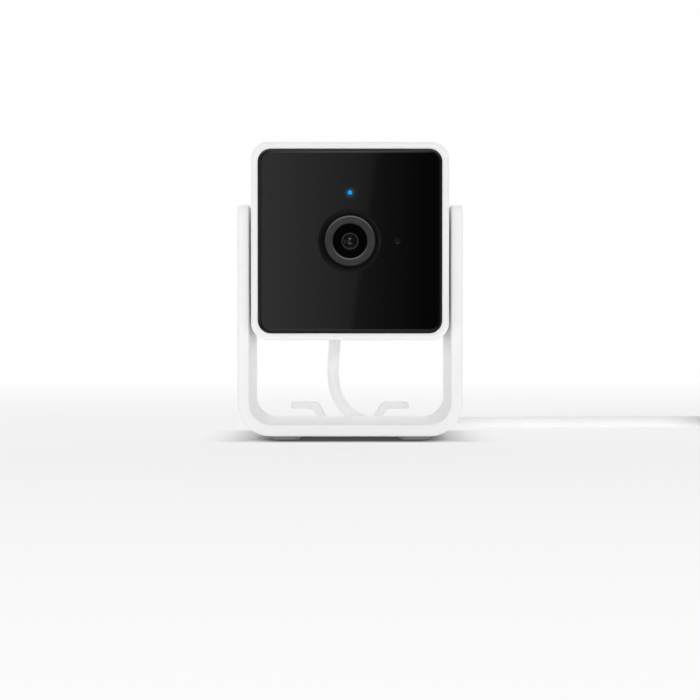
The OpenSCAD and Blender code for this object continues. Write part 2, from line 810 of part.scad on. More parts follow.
// Strap around the bundle of turns
module cord_tie() {
    spare = 0.35;
    tall = top_layer_z + cord_r + spare - tie_t;
    wide = coil_max_r - coil_min_r + cord_d + 2 * spare;
    color("black") translate([coil_at.x, coil_at.y, tie_t + tall / 2]) rotate([0, 0, tie_angle])
        along_y(-tie_w / 2, tie_w / 2) translate([(coil_max_r + coil_min_r) / 2, 0]) difference() {
            round_rect(wide + 2 * tie_t, tall + 2 * tie_t, 2.5 + tie_t);
            round_rect(wide, tall, 2.5);
        }
}

// Places the far plug's parts: X along the plug, away from the cord
far_neck = 7;
far_body = 26;
far_tip = 38;
module at_far_plug() {
    translate(tail_end) rotate([0, 0, atan2(tail_way.y, tail_way.x)]) children();
}

module far_plug() {
    color("white") at_far_plug() {
        rotate([0, 90, 0]) cylinder(r1 = cord_r + 0.4, r2 = 3.2, h = far_neck);
        translate([far_neck - 0.1, 0, 0]) rotate([90, 0, 90])
            linear_extrude(far_body - far_neck + 0.1) round_rect(15.6, 8, 2);
    }
}

// Type A plug's metal shell, 12 mm by 4.5 mm
module far_plug_shell() {
    wall = 0.3;
    color("silver") at_far_plug() difference() {
        block([far_body + 0.02, -6, -2.25], [far_tip, 6, 2.25]);
        block([far_body + 1, -6 + wall, 0.1], [far_tip + 1, 6 - wall, 2.25 - wall]);
    }
}

stand_bracket();
foot(-1);  // foot_left
foot(1);  // foot_right
cord_cleat();
friction_ring(-1);  // friction_ring_left
friction_ring(1);  // friction_ring_right
pivot_springs();
pivot_washers();
pivot_screws();
head_shell();
rear_cover();
front_panel();
panel_tape();
lens_surround();
lens_ring();
lens_barrel();
lens_retainer();
front_lens();
rear_lens();
lens_holder();
ir_cut_coil();
image_sensor();
sensor_board();
inner_frame();
ir_led_board();
ir_leds();
status_led();
light_pipe();
microphone();
mic_boot();
board_flex();
main_board();
shield_can();
thermal_pad();
heat_spreader();
wifi_antenna();
speaker_magnet();
speaker_frame();
speaker_cone();
speaker_gasket();
usb_socket();
reset_switch();
sensor_screws();
main_board_screws();
rear_cover_screws();
pivot_bush(-1);  // pivot_bush_left
pivot_bush(1);  // pivot_bush_right
reset_button();
ir_cut_slider();
ir_filter();
clear_filter();
usb_plug();
usb_plug_tip();
plug_strain_relief();
cord_drop();
cord_run();
cord_coil();
cord_tie();
far_plug();
far_plug_shell();
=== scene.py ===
"""Looks of a small indoor pet camera: a cube head that tilts in a U-shaped stand, with its cord.

Lengths in the making of pieces are millimetres, as in the part's source. Those of the floor, the
card and the lamps are metres. Pieces of the head are drawn about the tilt axis and moved to it.
"""
import contextlib
import json
import math

import bmesh
import bpy
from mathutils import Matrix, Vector


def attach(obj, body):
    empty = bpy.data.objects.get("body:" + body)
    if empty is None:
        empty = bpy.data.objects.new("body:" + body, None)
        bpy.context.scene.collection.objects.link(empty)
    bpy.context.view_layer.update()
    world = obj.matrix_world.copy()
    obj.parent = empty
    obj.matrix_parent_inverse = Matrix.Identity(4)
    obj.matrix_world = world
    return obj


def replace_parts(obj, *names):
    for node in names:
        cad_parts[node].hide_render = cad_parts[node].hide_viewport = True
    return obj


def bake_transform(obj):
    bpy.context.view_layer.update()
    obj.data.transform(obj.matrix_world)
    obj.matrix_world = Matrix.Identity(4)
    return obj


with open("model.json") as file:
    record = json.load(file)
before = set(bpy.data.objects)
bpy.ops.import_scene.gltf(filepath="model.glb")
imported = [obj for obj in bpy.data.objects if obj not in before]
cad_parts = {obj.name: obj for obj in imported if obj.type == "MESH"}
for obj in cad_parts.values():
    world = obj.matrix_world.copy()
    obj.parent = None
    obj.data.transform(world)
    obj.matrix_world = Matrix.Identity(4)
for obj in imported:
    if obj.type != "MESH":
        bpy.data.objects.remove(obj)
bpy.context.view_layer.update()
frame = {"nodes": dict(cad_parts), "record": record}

MM = 0.001
TURN = 2 * math.pi
X, Y, Z = range(3)
UNIT = (Vector((1, 0, 0)), Vector((0, 1, 0)), Vector((0, 0, 1)))

# Sizes of the head, from the tilt axis, whose own place is PIVOT
PIVOT = Vector((0, 0.9, 52.6))
HALF = 25.8             # half of the head's width
HEAD_R = 4.5
FRONT = -26             # face of the front glass
PANEL_BACK = -24.4
LEDGE_BACK = -22.6      # back of the ledge behind the glass
SEAM = 17               # joint between the casing and the rear cover
COVER_IN = 19
BACK = 21
INSIDE = 24.03          # inside of the head's walls
GLASS_R = 3.45
POCKET_R = 3.2
BOSS_AT = 20.3          # rear screws
PORT = Vector((-4.5, 0, -12))
BUTTON = Vector((7, 0, -12))
SPEAKER_Z = 7
LIGHT_Z = 12.6
MIC_X = 12.3
DISH_R = 8.2
RING_R = 6.55
RING_BORE = 4.48

# Sizes of the stand, from the table
STAND_FRONT = -17.1
STAND_REAR = 18.9
ARM_TOP = 62.8
BAR_LOW = 1.1
FOOT_X = 17.45
FOOT_HALF_W, FOOT_HALF_L = 4.1, 15.5
FOOT_TOP = 2
FOOT_R = 2.5

# Sizes of the cord and its plugs
CORD_R = 1.75
CORD_Y = 28.4
CORD_BACK = 6.5         # cord's axis behind the rear cover
RELIEF_END = -24.5      # lower end of the plug's sleeve, from the tilt axis
PLUG_AT = Vector((142.535, -1.528, 20.15))
FAR_NECK, FAR_BODY, FAR_TIP = 7, 26, 38

# Tolerances in choosing parts of a mesh, in millimetres or as a share of a direction
SAME_POINT = 0.005
SAME_PLANE = 0.004
NEAR_RIM = 0.05
ALONG, ACROSS = 0.9, 0.01
FACING, FLAT_ON = 0.99, 0.999


# Camera

CAMERA_AT = Vector((0, -407.1, 31.04))
CAMERA_DOWN = 1.015     # degrees
LENS, SENSOR = 75.48, 36


def set_camera():
    lens = bpy.data.cameras.new("camera")
    lens.lens = LENS
    lens.sensor_width = SENSOR
    lens.clip_start = 10 * MM
    camera = bpy.data.objects.new("camera", lens)
    camera.location = CAMERA_AT * MM
    camera.rotation_euler = (math.radians(90 - CAMERA_DOWN), 0, 0)
    bpy.context.scene.collection.objects.link(camera)
    bpy.context.scene.camera = camera


# Modelling by hand: the newest object, its selection and its modifiers

def make_active(obj):
    bpy.ops.object.select_all(action="DESELECT")
    obj.select_set(True)
    bpy.context.view_layer.objects.active = obj


def settle(name):
    """Names the newest object and puts its place in its mesh."""
    obj = bpy.context.object
    obj.name = obj.data.name = name
    bpy.ops.object.transform_apply(location=True, rotation=True, scale=True)
    return obj


def shift(obj, by):
    make_active(obj)
    obj.location = Vector(by) * MM
    bpy.ops.object.transform_apply(location=True, rotation=False, scale=False)
    return obj


@contextlib.contextmanager
def edit_mode(obj):
    make_active(obj)
    bpy.ops.object.mode_set(mode="EDIT")
    yield
    bpy.ops.object.mode_set(mode="OBJECT")


def choose(obj, kind, test, kink=0):
    """In edit mode, selects the faces, points or bent enough edges that pass a test.

    The test gets the middle of each, in millimetres, and its direction.
    """
    bpy.ops.mesh.select_mode(type=kind)
    bpy.ops.mesh.select_all(action="DESELECT")
    mesh = bmesh.from_edit_mesh(obj.data)
    found = []
    if kind == "FACE":
        found = [f for f in mesh.faces if test(f.calc_center_median() / MM, f.normal)]
    elif kind == "VERT":
        found = [v for v in mesh.verts if test(v.co / MM, v.normal)]
    else:
        for edge in mesh.edges:
            a, b = (v.co for v in edge.verts)
            bent = edge.calc_face_angle(math.pi) >= math.radians(kink)
            if bent and test((a + b) / 2 / MM, (b - a).normalized()):
                found.append(edge)
    for item in found:
        item.select_set(True)
    mesh.select_flush_mode()
    bmesh.update_edit_mesh(obj.data)


def in_plane(axis, place, near=lambda middle: True):
    """Test for edges that lie in one plane across an axis, near something there."""
    return lambda middle, way: (abs(middle[axis] - place) < SAME_PLANE
                                and abs(way[axis]) < ACROSS and near(middle))


def round_edges(obj, test, r, steps):
    with edit_mode(obj):
        choose(obj, "EDGE", test)
        bpy.ops.mesh.bevel(offset=r * MM, offset_type="OFFSET", segments=steps, affect="EDGES")
    return obj


def outwards(merge=0.002):
    """In edit mode, closes seams and poles and turns all faces outwards."""
    bpy.ops.mesh.select_mode(type="VERT")
    bpy.ops.mesh.select_all(action="SELECT")
    bpy.ops.mesh.remove_doubles(threshold=merge * MM)
    bpy.ops.mesh.dissolve_degenerate(threshold=merge * MM)
    bpy.ops.mesh.normals_make_consistent(inside=False)


def modify(obj, kind, **settings):
    make_active(obj)
    modifier = obj.modifiers.new(kind.lower(), kind)
    for name, value in settings.items():
        setattr(modifier, name, value)
    bpy.ops.object.modifier_apply(modifier=modifier.name)
    return obj


def combine(obj, operation, tools):
    for tool in tools:
        modify(obj, "BOOLEAN", operation=operation, solver="EXACT", object=tool)
        bpy.data.meshes.remove(tool.data)
    return obj


def cut(obj, *tools):
    return combine(obj, "DIFFERENCE", tools)


def fuse(obj, *tools):
    return combine(obj, "UNION", tools)


def joined(name, pieces):
    make_active(pieces[0])
    for piece in pieces:
        piece.select_set(True)
    bpy.ops.object.join()
    return settle(name)


def copy_of(obj, by):
    make_active(obj)
    bpy.ops.object.duplicate()
    return shift(bpy.context.object, by)


def soften(obj, width, steps=3, angle=30):
    return modify(obj, "BEVEL", width=width * MM, segments=steps, limit_method="ANGLE",
                  angle_limit=math.radians(angle))


def smooth(obj, angle=35):
    """Rounded faces shade smoothly, and flat ones stay flat up to their edges."""
    make_active(obj)
    bpy.ops.object.shade_smooth_by_angle(angle=math.radians(angle))
    return modify(obj, "WEIGHTED_NORMAL", keep_sharp=True)


# Starting shapes

def box(name, low, high):
    low, high = Vector(low), Vector(high)
    bpy.ops.object.select_all(action="DESELECT")
    bpy.ops.mesh.primitive_cube_add(size=1, location=(low + high) / 2 * MM, scale=(high - low) * MM)
    return settle(name)


def round_block(name, low, high, r, steps=8, axis=Y):
    """Block with its four edges along one axis rounded."""
    return round_edges(box(name, low, high), lambda middle, way: abs(way[axis]) > ALONG, r, steps)


def square_block(name, half, front, back, r, steps=12):
    """Round-cornered square block about the lens axis."""
    return round_block(name, (-half, front, -half), (half, back, half), r, steps)


def rod(name, start, way, r, length, sides=48):
    bpy.ops.object.select_all(action="DESELECT")
    bpy.ops.mesh.primitive_cylinder_add(
        vertices=sides, radius=r * MM, depth=length * MM,
        location=(Vector(start) + way * length / 2) * MM,
        rotation=way.to_track_quat("Z", "Y").to_euler())
    return settle(name)


def trace(name, points, closed=True):
    """Draws an outline point by point with the extrude tool."""
    points = [Vector(p) for p in points]
    bpy.ops.object.select_all(action="DESELECT")
    bpy.ops.mesh.primitive_plane_add(size=MM, location=points[0] * MM)
    obj = settle(name)
    with edit_mode(obj):
        bpy.ops.mesh.select_mode(type="VERT")
        bpy.ops.mesh.select_all(action="SELECT")
        bpy.ops.mesh.merge(type="CENTER")
        for a, b in zip(points, points[1:]):
            bpy.ops.mesh.extrude_vertices_move(TRANSFORM_OT_translate={"value": (b - a) * MM})
        if closed:
            ends = (points[0], points[-1])
            choose(obj, "VERT",
                   lambda middle, way: min((middle - p).length for p in ends) < SAME_POINT)
            bpy.ops.mesh.edge_face_add()
    return obj


def prism(name, outline, way):
    """Fills an outline and pulls it along a direction."""
    obj = trace(name, outline)
    with edit_mode(obj):
        bpy.ops.mesh.select_all(action="SELECT")
        bpy.ops.mesh.edge_face_add()
        bpy.ops.mesh.extrude_region_move(TRANSFORM_OT_translate={"value": Vector(way) * MM})
        outwards()
    return obj


def turned(name, profile, axis=Y, at=(0, 0, 0), steps=64, closed=True):
    """Spins an outline of radius and distance points about an axis."""
    at, along, across = Vector(at), UNIT[axis], UNIT[Z if axis == X else X]
    obj = trace(name, [at + across * r + along * d for r, d in profile], closed)
    with edit_mode(obj):
        bpy.ops.mesh.select_all(action="SELECT")
        bpy.ops.mesh.spin(steps=steps, angle=TURN, center=at * MM, axis=along)
        outwards()
    return obj


def arc(centre, r, start, end, steps):
    """Points of an arc in two dimensions, angles in degrees."""
    angles = [math.radians(start + (end - start) * i / steps) for i in range(steps + 1)]
    return [(centre[0] + r * math.cos(a), centre[1] + r * math.sin(a)) for a in angles]


def off_square(point, half, r):
    """Distance outside a round-cornered square in X and Z."""
    x, z = abs(point.x) - half + r, abs(point.z) - half + r
    return math.hypot(max(x, 0), max(z, 0)) + min(max(x, z), 0) - r


# Finishes: shader maths as plain expressions, and one method for every other node

class Level:
    """A shader socket that takes part in arithmetic."""

    def __init__(self, nodes, socket):
        self.nodes, self.socket = nodes, socket

    def maths(self, operation, first, second=0.0):
        return self.nodes.add("ShaderNodeMath", {"operation": operation}, {0: first, 1: second})

    def __add__(self, other):
        return self.maths("ADD", self, other)

    def __radd__(self, other):
        return self.maths("ADD", other, self)

    def __sub__(self, other):
        return self.maths("SUBTRACT", self, other)

    def __rsub__(self, other):
        return self.maths("SUBTRACT", other, self)

    def __mul__(self, other):
        return self.maths("MULTIPLY", self, other)

    def __rmul__(self, other):
        return self.maths("MULTIPLY", other, self)

    def __abs__(self):
        return self.maths("ABSOLUTE", self)

    def least(self, other):
        return self.maths("MINIMUM", self, other)

    def most(self, other):
        return self.maths("MAXIMUM", self, other)

    def root(self):
        return self.maths("SQRT", self)

    def wave(self):
        return self.maths("SINE", self)


class Nodes:
    """The nodes of a material or of the world."""

    def __init__(self, tree):
        self.tree = tree

    def add(self, kind, settings=None, sockets=None, out=0):
        node = self.tree.nodes.new(kind)
        for name, value in (settings or {}).items():
            setattr(node, name, value)
        for name, value in (sockets or {}).items():
            self.feed(node.inputs[name], value)
        return Level(self, node.outputs[out])

    def feed(self, socket, value):
        if isinstance(value, Level):
            self.tree.links.new(value.socket, socket)
        else:
            socket.default_value = value

    def outputs(self, level, names):
        return [Level(self, level.socket.node.outputs[name]) for name in names]

    def place(self, kind="Object"):
        return self.add("ShaderNodeTexCoord", out=kind)

    def axes(self, kind="Object"):
        parts = self.add("ShaderNodeSeparateXYZ", {}, {"Vector": self.place(kind)})
        return self.outputs(parts, "XYZ")

    def noise(self, size, detail=2.0, stretch=(1, 1, 1)):
        """Soft noise with patches of about that size in millimetres."""
        where = self.add("ShaderNodeMapping", {}, {"Vector": self.place(), "Scale": stretch})
        return self.add("ShaderNodeTexNoise", {},
                        {"Vector": where, "Scale": 1 / (size * MM), "Detail": detail})

    def cells(self, size):
        return self.add("ShaderNodeTexVoronoi", {},
                        {"Vector": self.place(), "Scale": 1 / (size * MM)})

    def mix(self, share, a, b):
        return self.add("ShaderNodeMix", {"data_type": "RGBA"}, {0: share, 6: a, 7: b}, out=2)

    def mottled(self, colour, mask, low, high):
        """A colour that a mask varies between two shares of itself."""
        return self.mix(mask, shade(colour, low), shade(colour, high))

    def step(self, value, low, high):
        """Rises smoothly from 0 to 1 between two values."""
        return self.add("ShaderNodeMapRange", {"interpolation_type": "SMOOTHSTEP"},
                        {"Value": value, "From Min": low, "From Max": high})

    def glow(self, colour, strength=1.0):
        return self.add("ShaderNodeEmission", {}, {"Color": colour, "Strength": strength})


class Finish(Nodes):
    """A material."""

    def __init__(self, name, **constants):
        self.material = bpy.data.materials.new(name)
        self.material.use_nodes = True
        super().__init__(self.material.node_tree)
        self.shader = self.tree.nodes["Principled BSDF"]
        self.set(**constants)

    def set(self, **sockets):
        for name, value in sockets.items():
            self.feed(self.shader.inputs[name.replace("_", " ")], value)

    def bump(self, height, depth):
        self.set(Normal=self.add("ShaderNodeBump", {}, {"Height": height, "Distance": depth * MM}))

    def show(self, shader):
        """Shows a shader in place of the material's own."""
        self.feed(self.tree.nodes["Material Output"].inputs["Surface"], shader)


def rgb(r, g=None, b=None):
    return (r, r if g is None else g, r if b is None else b, 1)


def shade(colour, factor):
    return tuple(c * factor for c in colour[:3]) + (1,)


def around(middle, spread, mask):
    """A value that a mask moves by a spread to both sides of its middle."""
    return middle - spread + 2 * spread * mask


def moulded(name, colour, rough, grain=0.16, depth=0.006, vary=0.03, **constants):
    """Moulded plastic or rubber: faint blotches, an eroded mould's fine grain and uneven gloss."""
    f = Finish(name, **constants)
    f.set(Base_Color=f.mottled(colour, f.noise(9), 1 - vary, 1 + vary),
          Roughness=around(rough, 0.04, f.noise(2.5)))
    f.bump(0.6 * f.noise(grain, 3) + 0.4 * f.cells(grain * 1.6), depth)
    return f.material


def polished(name, colour, rough, **constants):
    """Polished black sheet: nearly a mirror, with faint wipe marks."""
    f = Finish(name, **constants)
    wipe = f.noise(14, 3, (1, 1, 0.35))
    f.set(Base_Color=f.mottled(colour, wipe, 0.8, 1.2), Roughness=rough + rough * f.noise(5))
    return f


def metal(name, colour, rough, lines=(1, 1, 1), depth=0.002):
    """Plated or rolled metal with fine drawing lines along one direction."""
    f = Finish(name, Metallic=1.0)
    drawn = f.noise(0.12, 2, lines)
    f.set(Base_Color=f.mottled(colour, f.noise(3), 0.9, 1.08), Roughness=around(rough, 0.08, drawn))
    f.bump(drawn, depth)
    return f.material


def off_axis(f, above=0):
    """Distance at rest from the lens axis, or from a line above it, in metres."""
    x, y, z = f.axes()
    up = z - (PIVOT.z + above) * MM
    return (x * x + up * up).root()


def lathed(name, colour, rough, pitch, depth, **constants):
    """Round part with fine turning grooves about the lens axis."""
    f = Finish(name, **constants)
    groove = (off_axis(f) * (TURN / (pitch * MM))).wave()
    f.set(Base_Color=f.mottled(colour, f.noise(1.5), 0.92, 1.08),
          Roughness=around(rough, 0.05, f.noise(0.4)))
    f.bump(groove, depth)
    return f.material


def circuit_board(name):
    """Green board with a faint pattern of tracks."""
    f = Finish(name, Coat_Weight=0.3)
    upright = f.add("ShaderNodeMapping", {}, {"Vector": f.place(), "Rotation": (TURN / 4, 0, 0)})
    track = f.add("ShaderNodeTexBrick", {"offset": 0.5},
                  {"Vector": upright, "Scale": 260.0, "Mortar Size": 0.03,
                   "Color1": rgb(0), "Color2": rgb(0), "Mortar": rgb(1)})
    f.set(Base_Color=f.mix(track, rgb(0.012, 0.12, 0.045), rgb(0.03, 0.22, 0.08)),
          Roughness=0.35 + 0.15 * f.noise(1))
    f.bump(track, 0.03)
    return f.material


def woven(name, colour, pitch, depth):
    """Strap or pressed paper: crossing threads."""
    f = Finish(name, Sheen_Weight=0.3)
    x, y, z = f.axes()
    threads = TURN / (pitch * MM)
    thread = abs(((x + y) * threads).wave()) * abs(((z + x - y) * threads).wave())
    f.set(Base_Color=f.mottled(colour, thread, 0.6, 1.6), Roughness=0.85 + 0.1 * f.noise(0.6))
    f.bump(thread, depth)
    return f.material


def clear_glass(name, tint, shine):
    f = Finish(name, Transmission_Weight=1.0, IOR=1.5, Specular_IOR_Level=shine)
    f.set(Base_Color=f.mottled(tint, f.noise(2), 0.97, 1), Roughness=0.02 + 0.02 * f.noise(0.8))
    return f.material


def front_black():
    """Polished front, with a painted glow of the status light around it."""
    f = polished("front_black", rgb(0.0006), 0.02)
    # Painted glow: the front sheet emits a faint blue ring round the status light
    glow = 1 - f.step(off_axis(f, LIGHT_Z), 0.9 * MM, 2.3 * MM)
    f.set(Emission_Color=f.mix(glow, rgb(0), rgb(0.006, 0.0075, 0.008)), Emission_Strength=1.0)
    return f.material


def status_blue():
    """Lit core in a dim blue window."""
    f = Finish("status_blue", Roughness=0.25, Specular_IOR_Level=0.1)
    core = 1 - f.step(off_axis(f, LIGHT_Z), 0.47 * MM, 0.68 * MM)
    f.set(Base_Color=f.mix(f.noise(0.5), rgb(0.001, 0.003, 0.005), rgb(0.002, 0.005, 0.008)),
          Emission_Color=f.mix(core, rgb(0.013, 0.036, 0.06), rgb(0.001, 0.35, 0.956)),
          Emission_Strength=1.0)
    return f.material


FINISHES = {
    "white_plastic": moulded("satin_white", rgb(0.9, 0.9, 0.897), 0.42, vary=0.008, depth=0.004,
                             Sheen_Weight=0.3, Sheen_Roughness=0.3, Subsurface_Weight=0.4,
                             Subsurface_Radius=(1, 1, 1), Subsurface_Scale=0.002),
    "cord_white": moulded("cord_jacket", rgb(0.95, 0.95, 0.945), 0.5, grain=0.3, vary=0.012),
    "foot_rubber": moulded("foot_rubber", rgb(0.24), 0.7, grain=0.25, depth=0.02, vary=0.1),
    "pivot_plastic": moulded("pivot_plastic", rgb(0.72, 0.72, 0.71), 0.4),
    "black_plastic": moulded("black_plastic", rgb(0.008), 0.5, vary=0.1),
    "soft_black": moulded("soft_black", rgb(0.03), 0.8, grain=0.4, depth=0.05, vary=0.1),
    "sensor_chip": moulded("sensor_chip", rgb(0.03, 0.05, 0.05), 0.15, depth=0.001),
    "led_resin": moulded("led_resin", rgb(0.75, 0.75, 0.8), 0.2, depth=0.002),
    "flex_film": moulded("flex_film", rgb(0.42, 0.17, 0.04), 0.35),
    "thermal_gel": moulded("thermal_gel", rgb(0.45, 0.5, 0.55), 0.6, grain=0.5, depth=0.03),
    "plated_steel": metal("plated_steel", rgb(0.56, 0.56, 0.55), 0.32, (1, 0.1, 1)),
    "bare_aluminium": metal("bare_aluminium", rgb(0.7), 0.38, (0.08, 1, 1)),
    "microphone_metal": metal("microphone_metal", rgb(0.5, 0.42, 0.25), 0.3),
    "copper_wire": metal("copper_wire", rgb(0.6, 0.3, 0.16), 0.35, (0.1, 1, 1), 0.03),
    "magnet_iron": metal("magnet_iron", rgb(0.25, 0.25, 0.26), 0.45),
    "ring_metal": lathed("ring_satin", rgb(0.081, 0.081, 0.083), 0.34, 0.11, 0.0006, Metallic=1.0),
    "panel_black": front_black(),
    "status_blue": status_blue(),
    "lens_glass": clear_glass("lens_glass", rgb(0.04, 0.043, 0.05), 0.16),
    "filter_glass": clear_glass("filter_glass", rgb(0.5, 0.2, 0.4), 0.5),
    "circuit_board": circuit_board("circuit_board"),
    "cone_paper": woven("cone_paper", rgb(0.03), 0.6, 0.05),
    "tie_strap": woven("tie_strap", rgb(0.018), 0.9, 0.12),
}
DISH_BLACK = polished("dish_black", rgb(0.004), 0.22, Specular_IOR_Level=0.25).material
# Painted light: the stand's white plastic, made lighter for the hooks to make up for the shade they
# sit in under the head
HOOK_WHITE_PAINTED_LIGHT = moulded("hook_white_painted_light", rgb(0.95, 0.95, 0.945), 0.42, vary=0.008, depth=0.004)
FUNNEL_BLACK = lathed("funnel_black", rgb(0.0006), 0.7, 0.2, 0.004, Specular_IOR_Level=0.04)


def dress(obj, body, slot, *nodes, finish=None):
    """Gives a piece its finish, its body and the solids that it stands for."""
    obj.data.materials.clear()
    obj.data.materials.append(finish or FINISHES[slot])
    if body:
        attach(obj, body)
    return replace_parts(obj, *nodes)


def on_head(obj, slot, *nodes, finish=None):
    return dress(shift(obj, PIVOT), "head", slot, *nodes, finish=finish)


# Power cord: the same route as the part's source

LANDING_X = 9           # where the fall meets the table
FALL = [(-4.5, 28.1), (-4.6, 24.5), (-4.9, 20), (-5, 15.8), (-4.4, 11.3), (-2.7, 7.5), (0.3, 4.3),
        (4.2, 2.4), (LANDING_X, CORD_R)]
COIL_AT = Vector((131, 5, 0))
COIL_IN, COIL_OUT = 14, 28
COIL_TURNS, COIL_LAYERS = 3.5, 4
LAYER_PITCH = 4
COIL_Z = 2.3
TOP_LAYER_Z = COIL_Z + (COIL_LAYERS - 1) * LAYER_PITCH
TURN_STEPS = 48


def eased(s):
    return s * s * (3 - 2 * s)


def drop_points():
    """The fall behind the head, as one smooth curve through listed points."""
    knots = [Vector((x, CORD_Y, z)) for x, z in FALL]
    chain = [2 * knots[0] - knots[1], *knots, knots[-1] + Vector((4, 0, 0))]
    found = []
    for a, b, c, d in zip(chain, chain[1:], chain[2:], chain[3:]):
        square, cube = 2 * a - 5 * b + 4 * c - d, 3 * b - a - 3 * c + d
        for s in (0, 0.25, 0.5, 0.75):
            found.append(0.5 * (2 * b + (c - a) * s + square * s ** 2 + cube * s ** 3))
    for point in found:
        point.z = max(point.z, CORD_R)
    return found


def run_points(steps=40, lift_from=0.75):
    """Along the table to the coil."""
    start = Vector((LANDING_X, CORD_Y, CORD_R))
    end = COIL_AT + Vector((0, COIL_OUT, COIL_Z))
    found = []
    for i in range(steps):
        s = i / steps
        lift = max(0, s - lift_from) / (1 - lift_from)
        shares = (s, eased(s), eased(lift))
        found.append(Vector([a + (b - a) * share for a, b, share in zip(start, end, shares)]))
    return found


def coil_points():
    """Layers that spiral in and out in turn, and climb in the half turn around each reversal."""
    per_layer = COIL_TURNS * TURN_STEPS
    climb = TURN_STEPS / 4
    found = []
    for i in range(int(per_layer * COIL_LAYERS) + 1):
        layer = min(int(i // per_layer), COIL_LAYERS - 1)
        part = i / per_layer - layer
        r = COIL_IN + (part if layer % 2 else 1 - part) * (COIL_OUT - COIL_IN)
        near = math.floor(i / per_layer + 0.5)
        off = i - near * per_layer
        climbing = 0 < near < COIL_LAYERS and abs(off) < climb
        rise = near - 0.5 + off / climb / 2 if climbing else layer
        a = TURN / 4 - TURN * i / TURN_STEPS
        z = COIL_Z + rise * LAYER_PITCH
        found.append(COIL_AT + Vector((r * math.cos(a), r * math.sin(a), z)))
    return found


def tail_points(climb_arc=70, climb_steps=14, bend_r=12, bend_steps=14):
    """Up along the outer turn, round over the top and straight into the far plug."""
    lift = PLUG_AT.z - TOP_LAYER_Z
    top = COIL_AT + Vector((0, 0, TOP_LAYER_Z))
    end = math.radians(90 - climb_arc)
    found = []
    for j in range(1, climb_steps + 1):
        s = j / climb_steps
        a = math.radians(90 - climb_arc * s)
        x, y = COIL_OUT * math.cos(a), COIL_OUT * math.sin(a)
        found.append(top + Vector((x, y, lift * eased(s))))
    middle = top + (COIL_OUT - bend_r) * Vector((math.cos(end), math.sin(end), 0))
    for j in range(1, bend_steps + 1):
        a = end - (end + TURN / 4) * j / bend_steps
        found.append(middle + Vector((bend_r * math.cos(a), bend_r * math.sin(a), lift)))
    return [*found, PLUG_AT.copy()]


def power_cord():
    """Cord from plug to plug, which bends between the head and the stand."""
    points = [*drop_points(), *run_points(), *coil_points(), *tail_points()]
    line = bpy.data.curves.new("power_cord", "CURVE")
    line.dimensions = "3D"
    line.bevel_depth = CORD_R * MM
    line.bevel_resolution = 4
    line.use_fill_caps = True
    spline = line.splines.new("POLY")
    spline.points.add(len(points) - 1)
    for knot, point in zip(spline.points, points):
        knot.co = (*(point * MM), 1)
    obj = bpy.data.objects.new("power_cord", line)
    bpy.context.scene.collection.objects.link(obj)
    make_active(obj)
    bpy.ops.object.convert(target="MESH")
    obj = bpy.context.object
    with edit_mode(obj):
        outwards()
    bpy.ops.object.shade_smooth()
    dress(obj, None, "cord_white", "cord_drop", "cord_run", "cord_coil")
    points[0] * MM
    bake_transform(obj)
    length = sum((b - a).length for a, b in zip(points, points[1:])) * MM
    return obj, points, length


def cord_strap():
    """Hook-and-loop strap around the turns, with its end lapped over the top."""
    angle, width, thick, spare, corner, bend_steps = 140, 10, 0.5, 0.35, 2.5, 6
    flap_down, flap_short = 9, 5
    lap = thick + 0.08
    half_w = (COIL_OUT - COIL_IN) / 2 + CORD_R + spare
    low, high = thick, TOP_LAYER_Z + CORD_R + spare
    middle = (COIL_OUT + COIL_IN) / 2
    left, right = middle - half_w, middle + half_w
    x0, x1, z0, z1 = left + corner, right - corner, low + corner, high - corner
    bends = ((x1, z0, -90), (x1, z1, 0), (x0, z1, 90), (x0, z0, 180))
    loop = [p for x, z, a in bends for p in arc((x, z), corner, a, a + 90, bend_steps)]
    flap = [(right + lap, high - flap_down), *arc((x1, z1), corner + lap, 0, 90, bend_steps),
            (left + flap_short, high + lap)]
    bands = []
    for points, closed in ((loop, True), (flap, False)):
        band = trace("strap_band", [(x, -width / 2, z) for x, z in points], closed)
        with edit_mode(band):
            bpy.ops.mesh.select_all(action="SELECT")
            bpy.ops.mesh.extrude_region_move(TRANSFORM_OT_translate={"value": (0, width * MM, 0)})
            outwards()
        modify(band, "SOLIDIFY", thickness=thick * MM, offset=1 if closed else -1)
        with edit_mode(band):
            outwards()
        bands.append(soften(band, 0.12, 2, 60))
    strap = joined("cord_strap", bands)
    make_active(strap)
    strap.rotation_euler.z = math.radians(angle)
    strap.location = COIL_AT * MM
    bpy.ops.object.transform_apply(location=True, rotation=True, scale=True)
    return dress(smooth(strap), "stand", "tie_strap", "cord_tie")


def cord_plug():
    """Right-angle plug behind the head, with finger grooves and a hollow thumb rest."""
    half, below, above, clear, reach = 5, 5.5, 4.5, 0.3, 10.4
    first, pitch, wide, deep, groove_low, groove_high = 2.4, 1.7, 0.8, 0.4, -3.6, 2.6
    rest_border, rest_slope, rest_deep = 0.45, 0.3, 0.3
    low = PORT + Vector((-half, BACK + clear, -below))
    high = PORT + Vector((half, BACK + reach, above))
    plug = round_block("cord_plug", low, high, 2.4)
    round_edges(plug, in_plane(Y, high.y), 1.5, 6)
    round_edges(plug, in_plane(Y, low.y), 0.4, 2)
    with edit_mode(plug):
        choose(plug, "FACE", lambda middle, way: way.y > FLAT_ON)
        bpy.ops.mesh.inset(thickness=rest_border * MM)
        bpy.ops.mesh.inset(thickness=rest_slope * MM, depth=-rest_deep * MM)
    grooves = []
    for side in (-1, 1):
        x = PORT.x + side * half
        for i in range(4):
            y = low.y + first + pitch * i
            grooves.append(round_block("groove", (x - deep, y, PORT.z + groove_low),
                                       (x + deep, y + wide, PORT.z + groove_high), 0.35, 3, X))
    return on_head(smooth(cut(plug, *grooves)), "cord_white", "usb_plug")


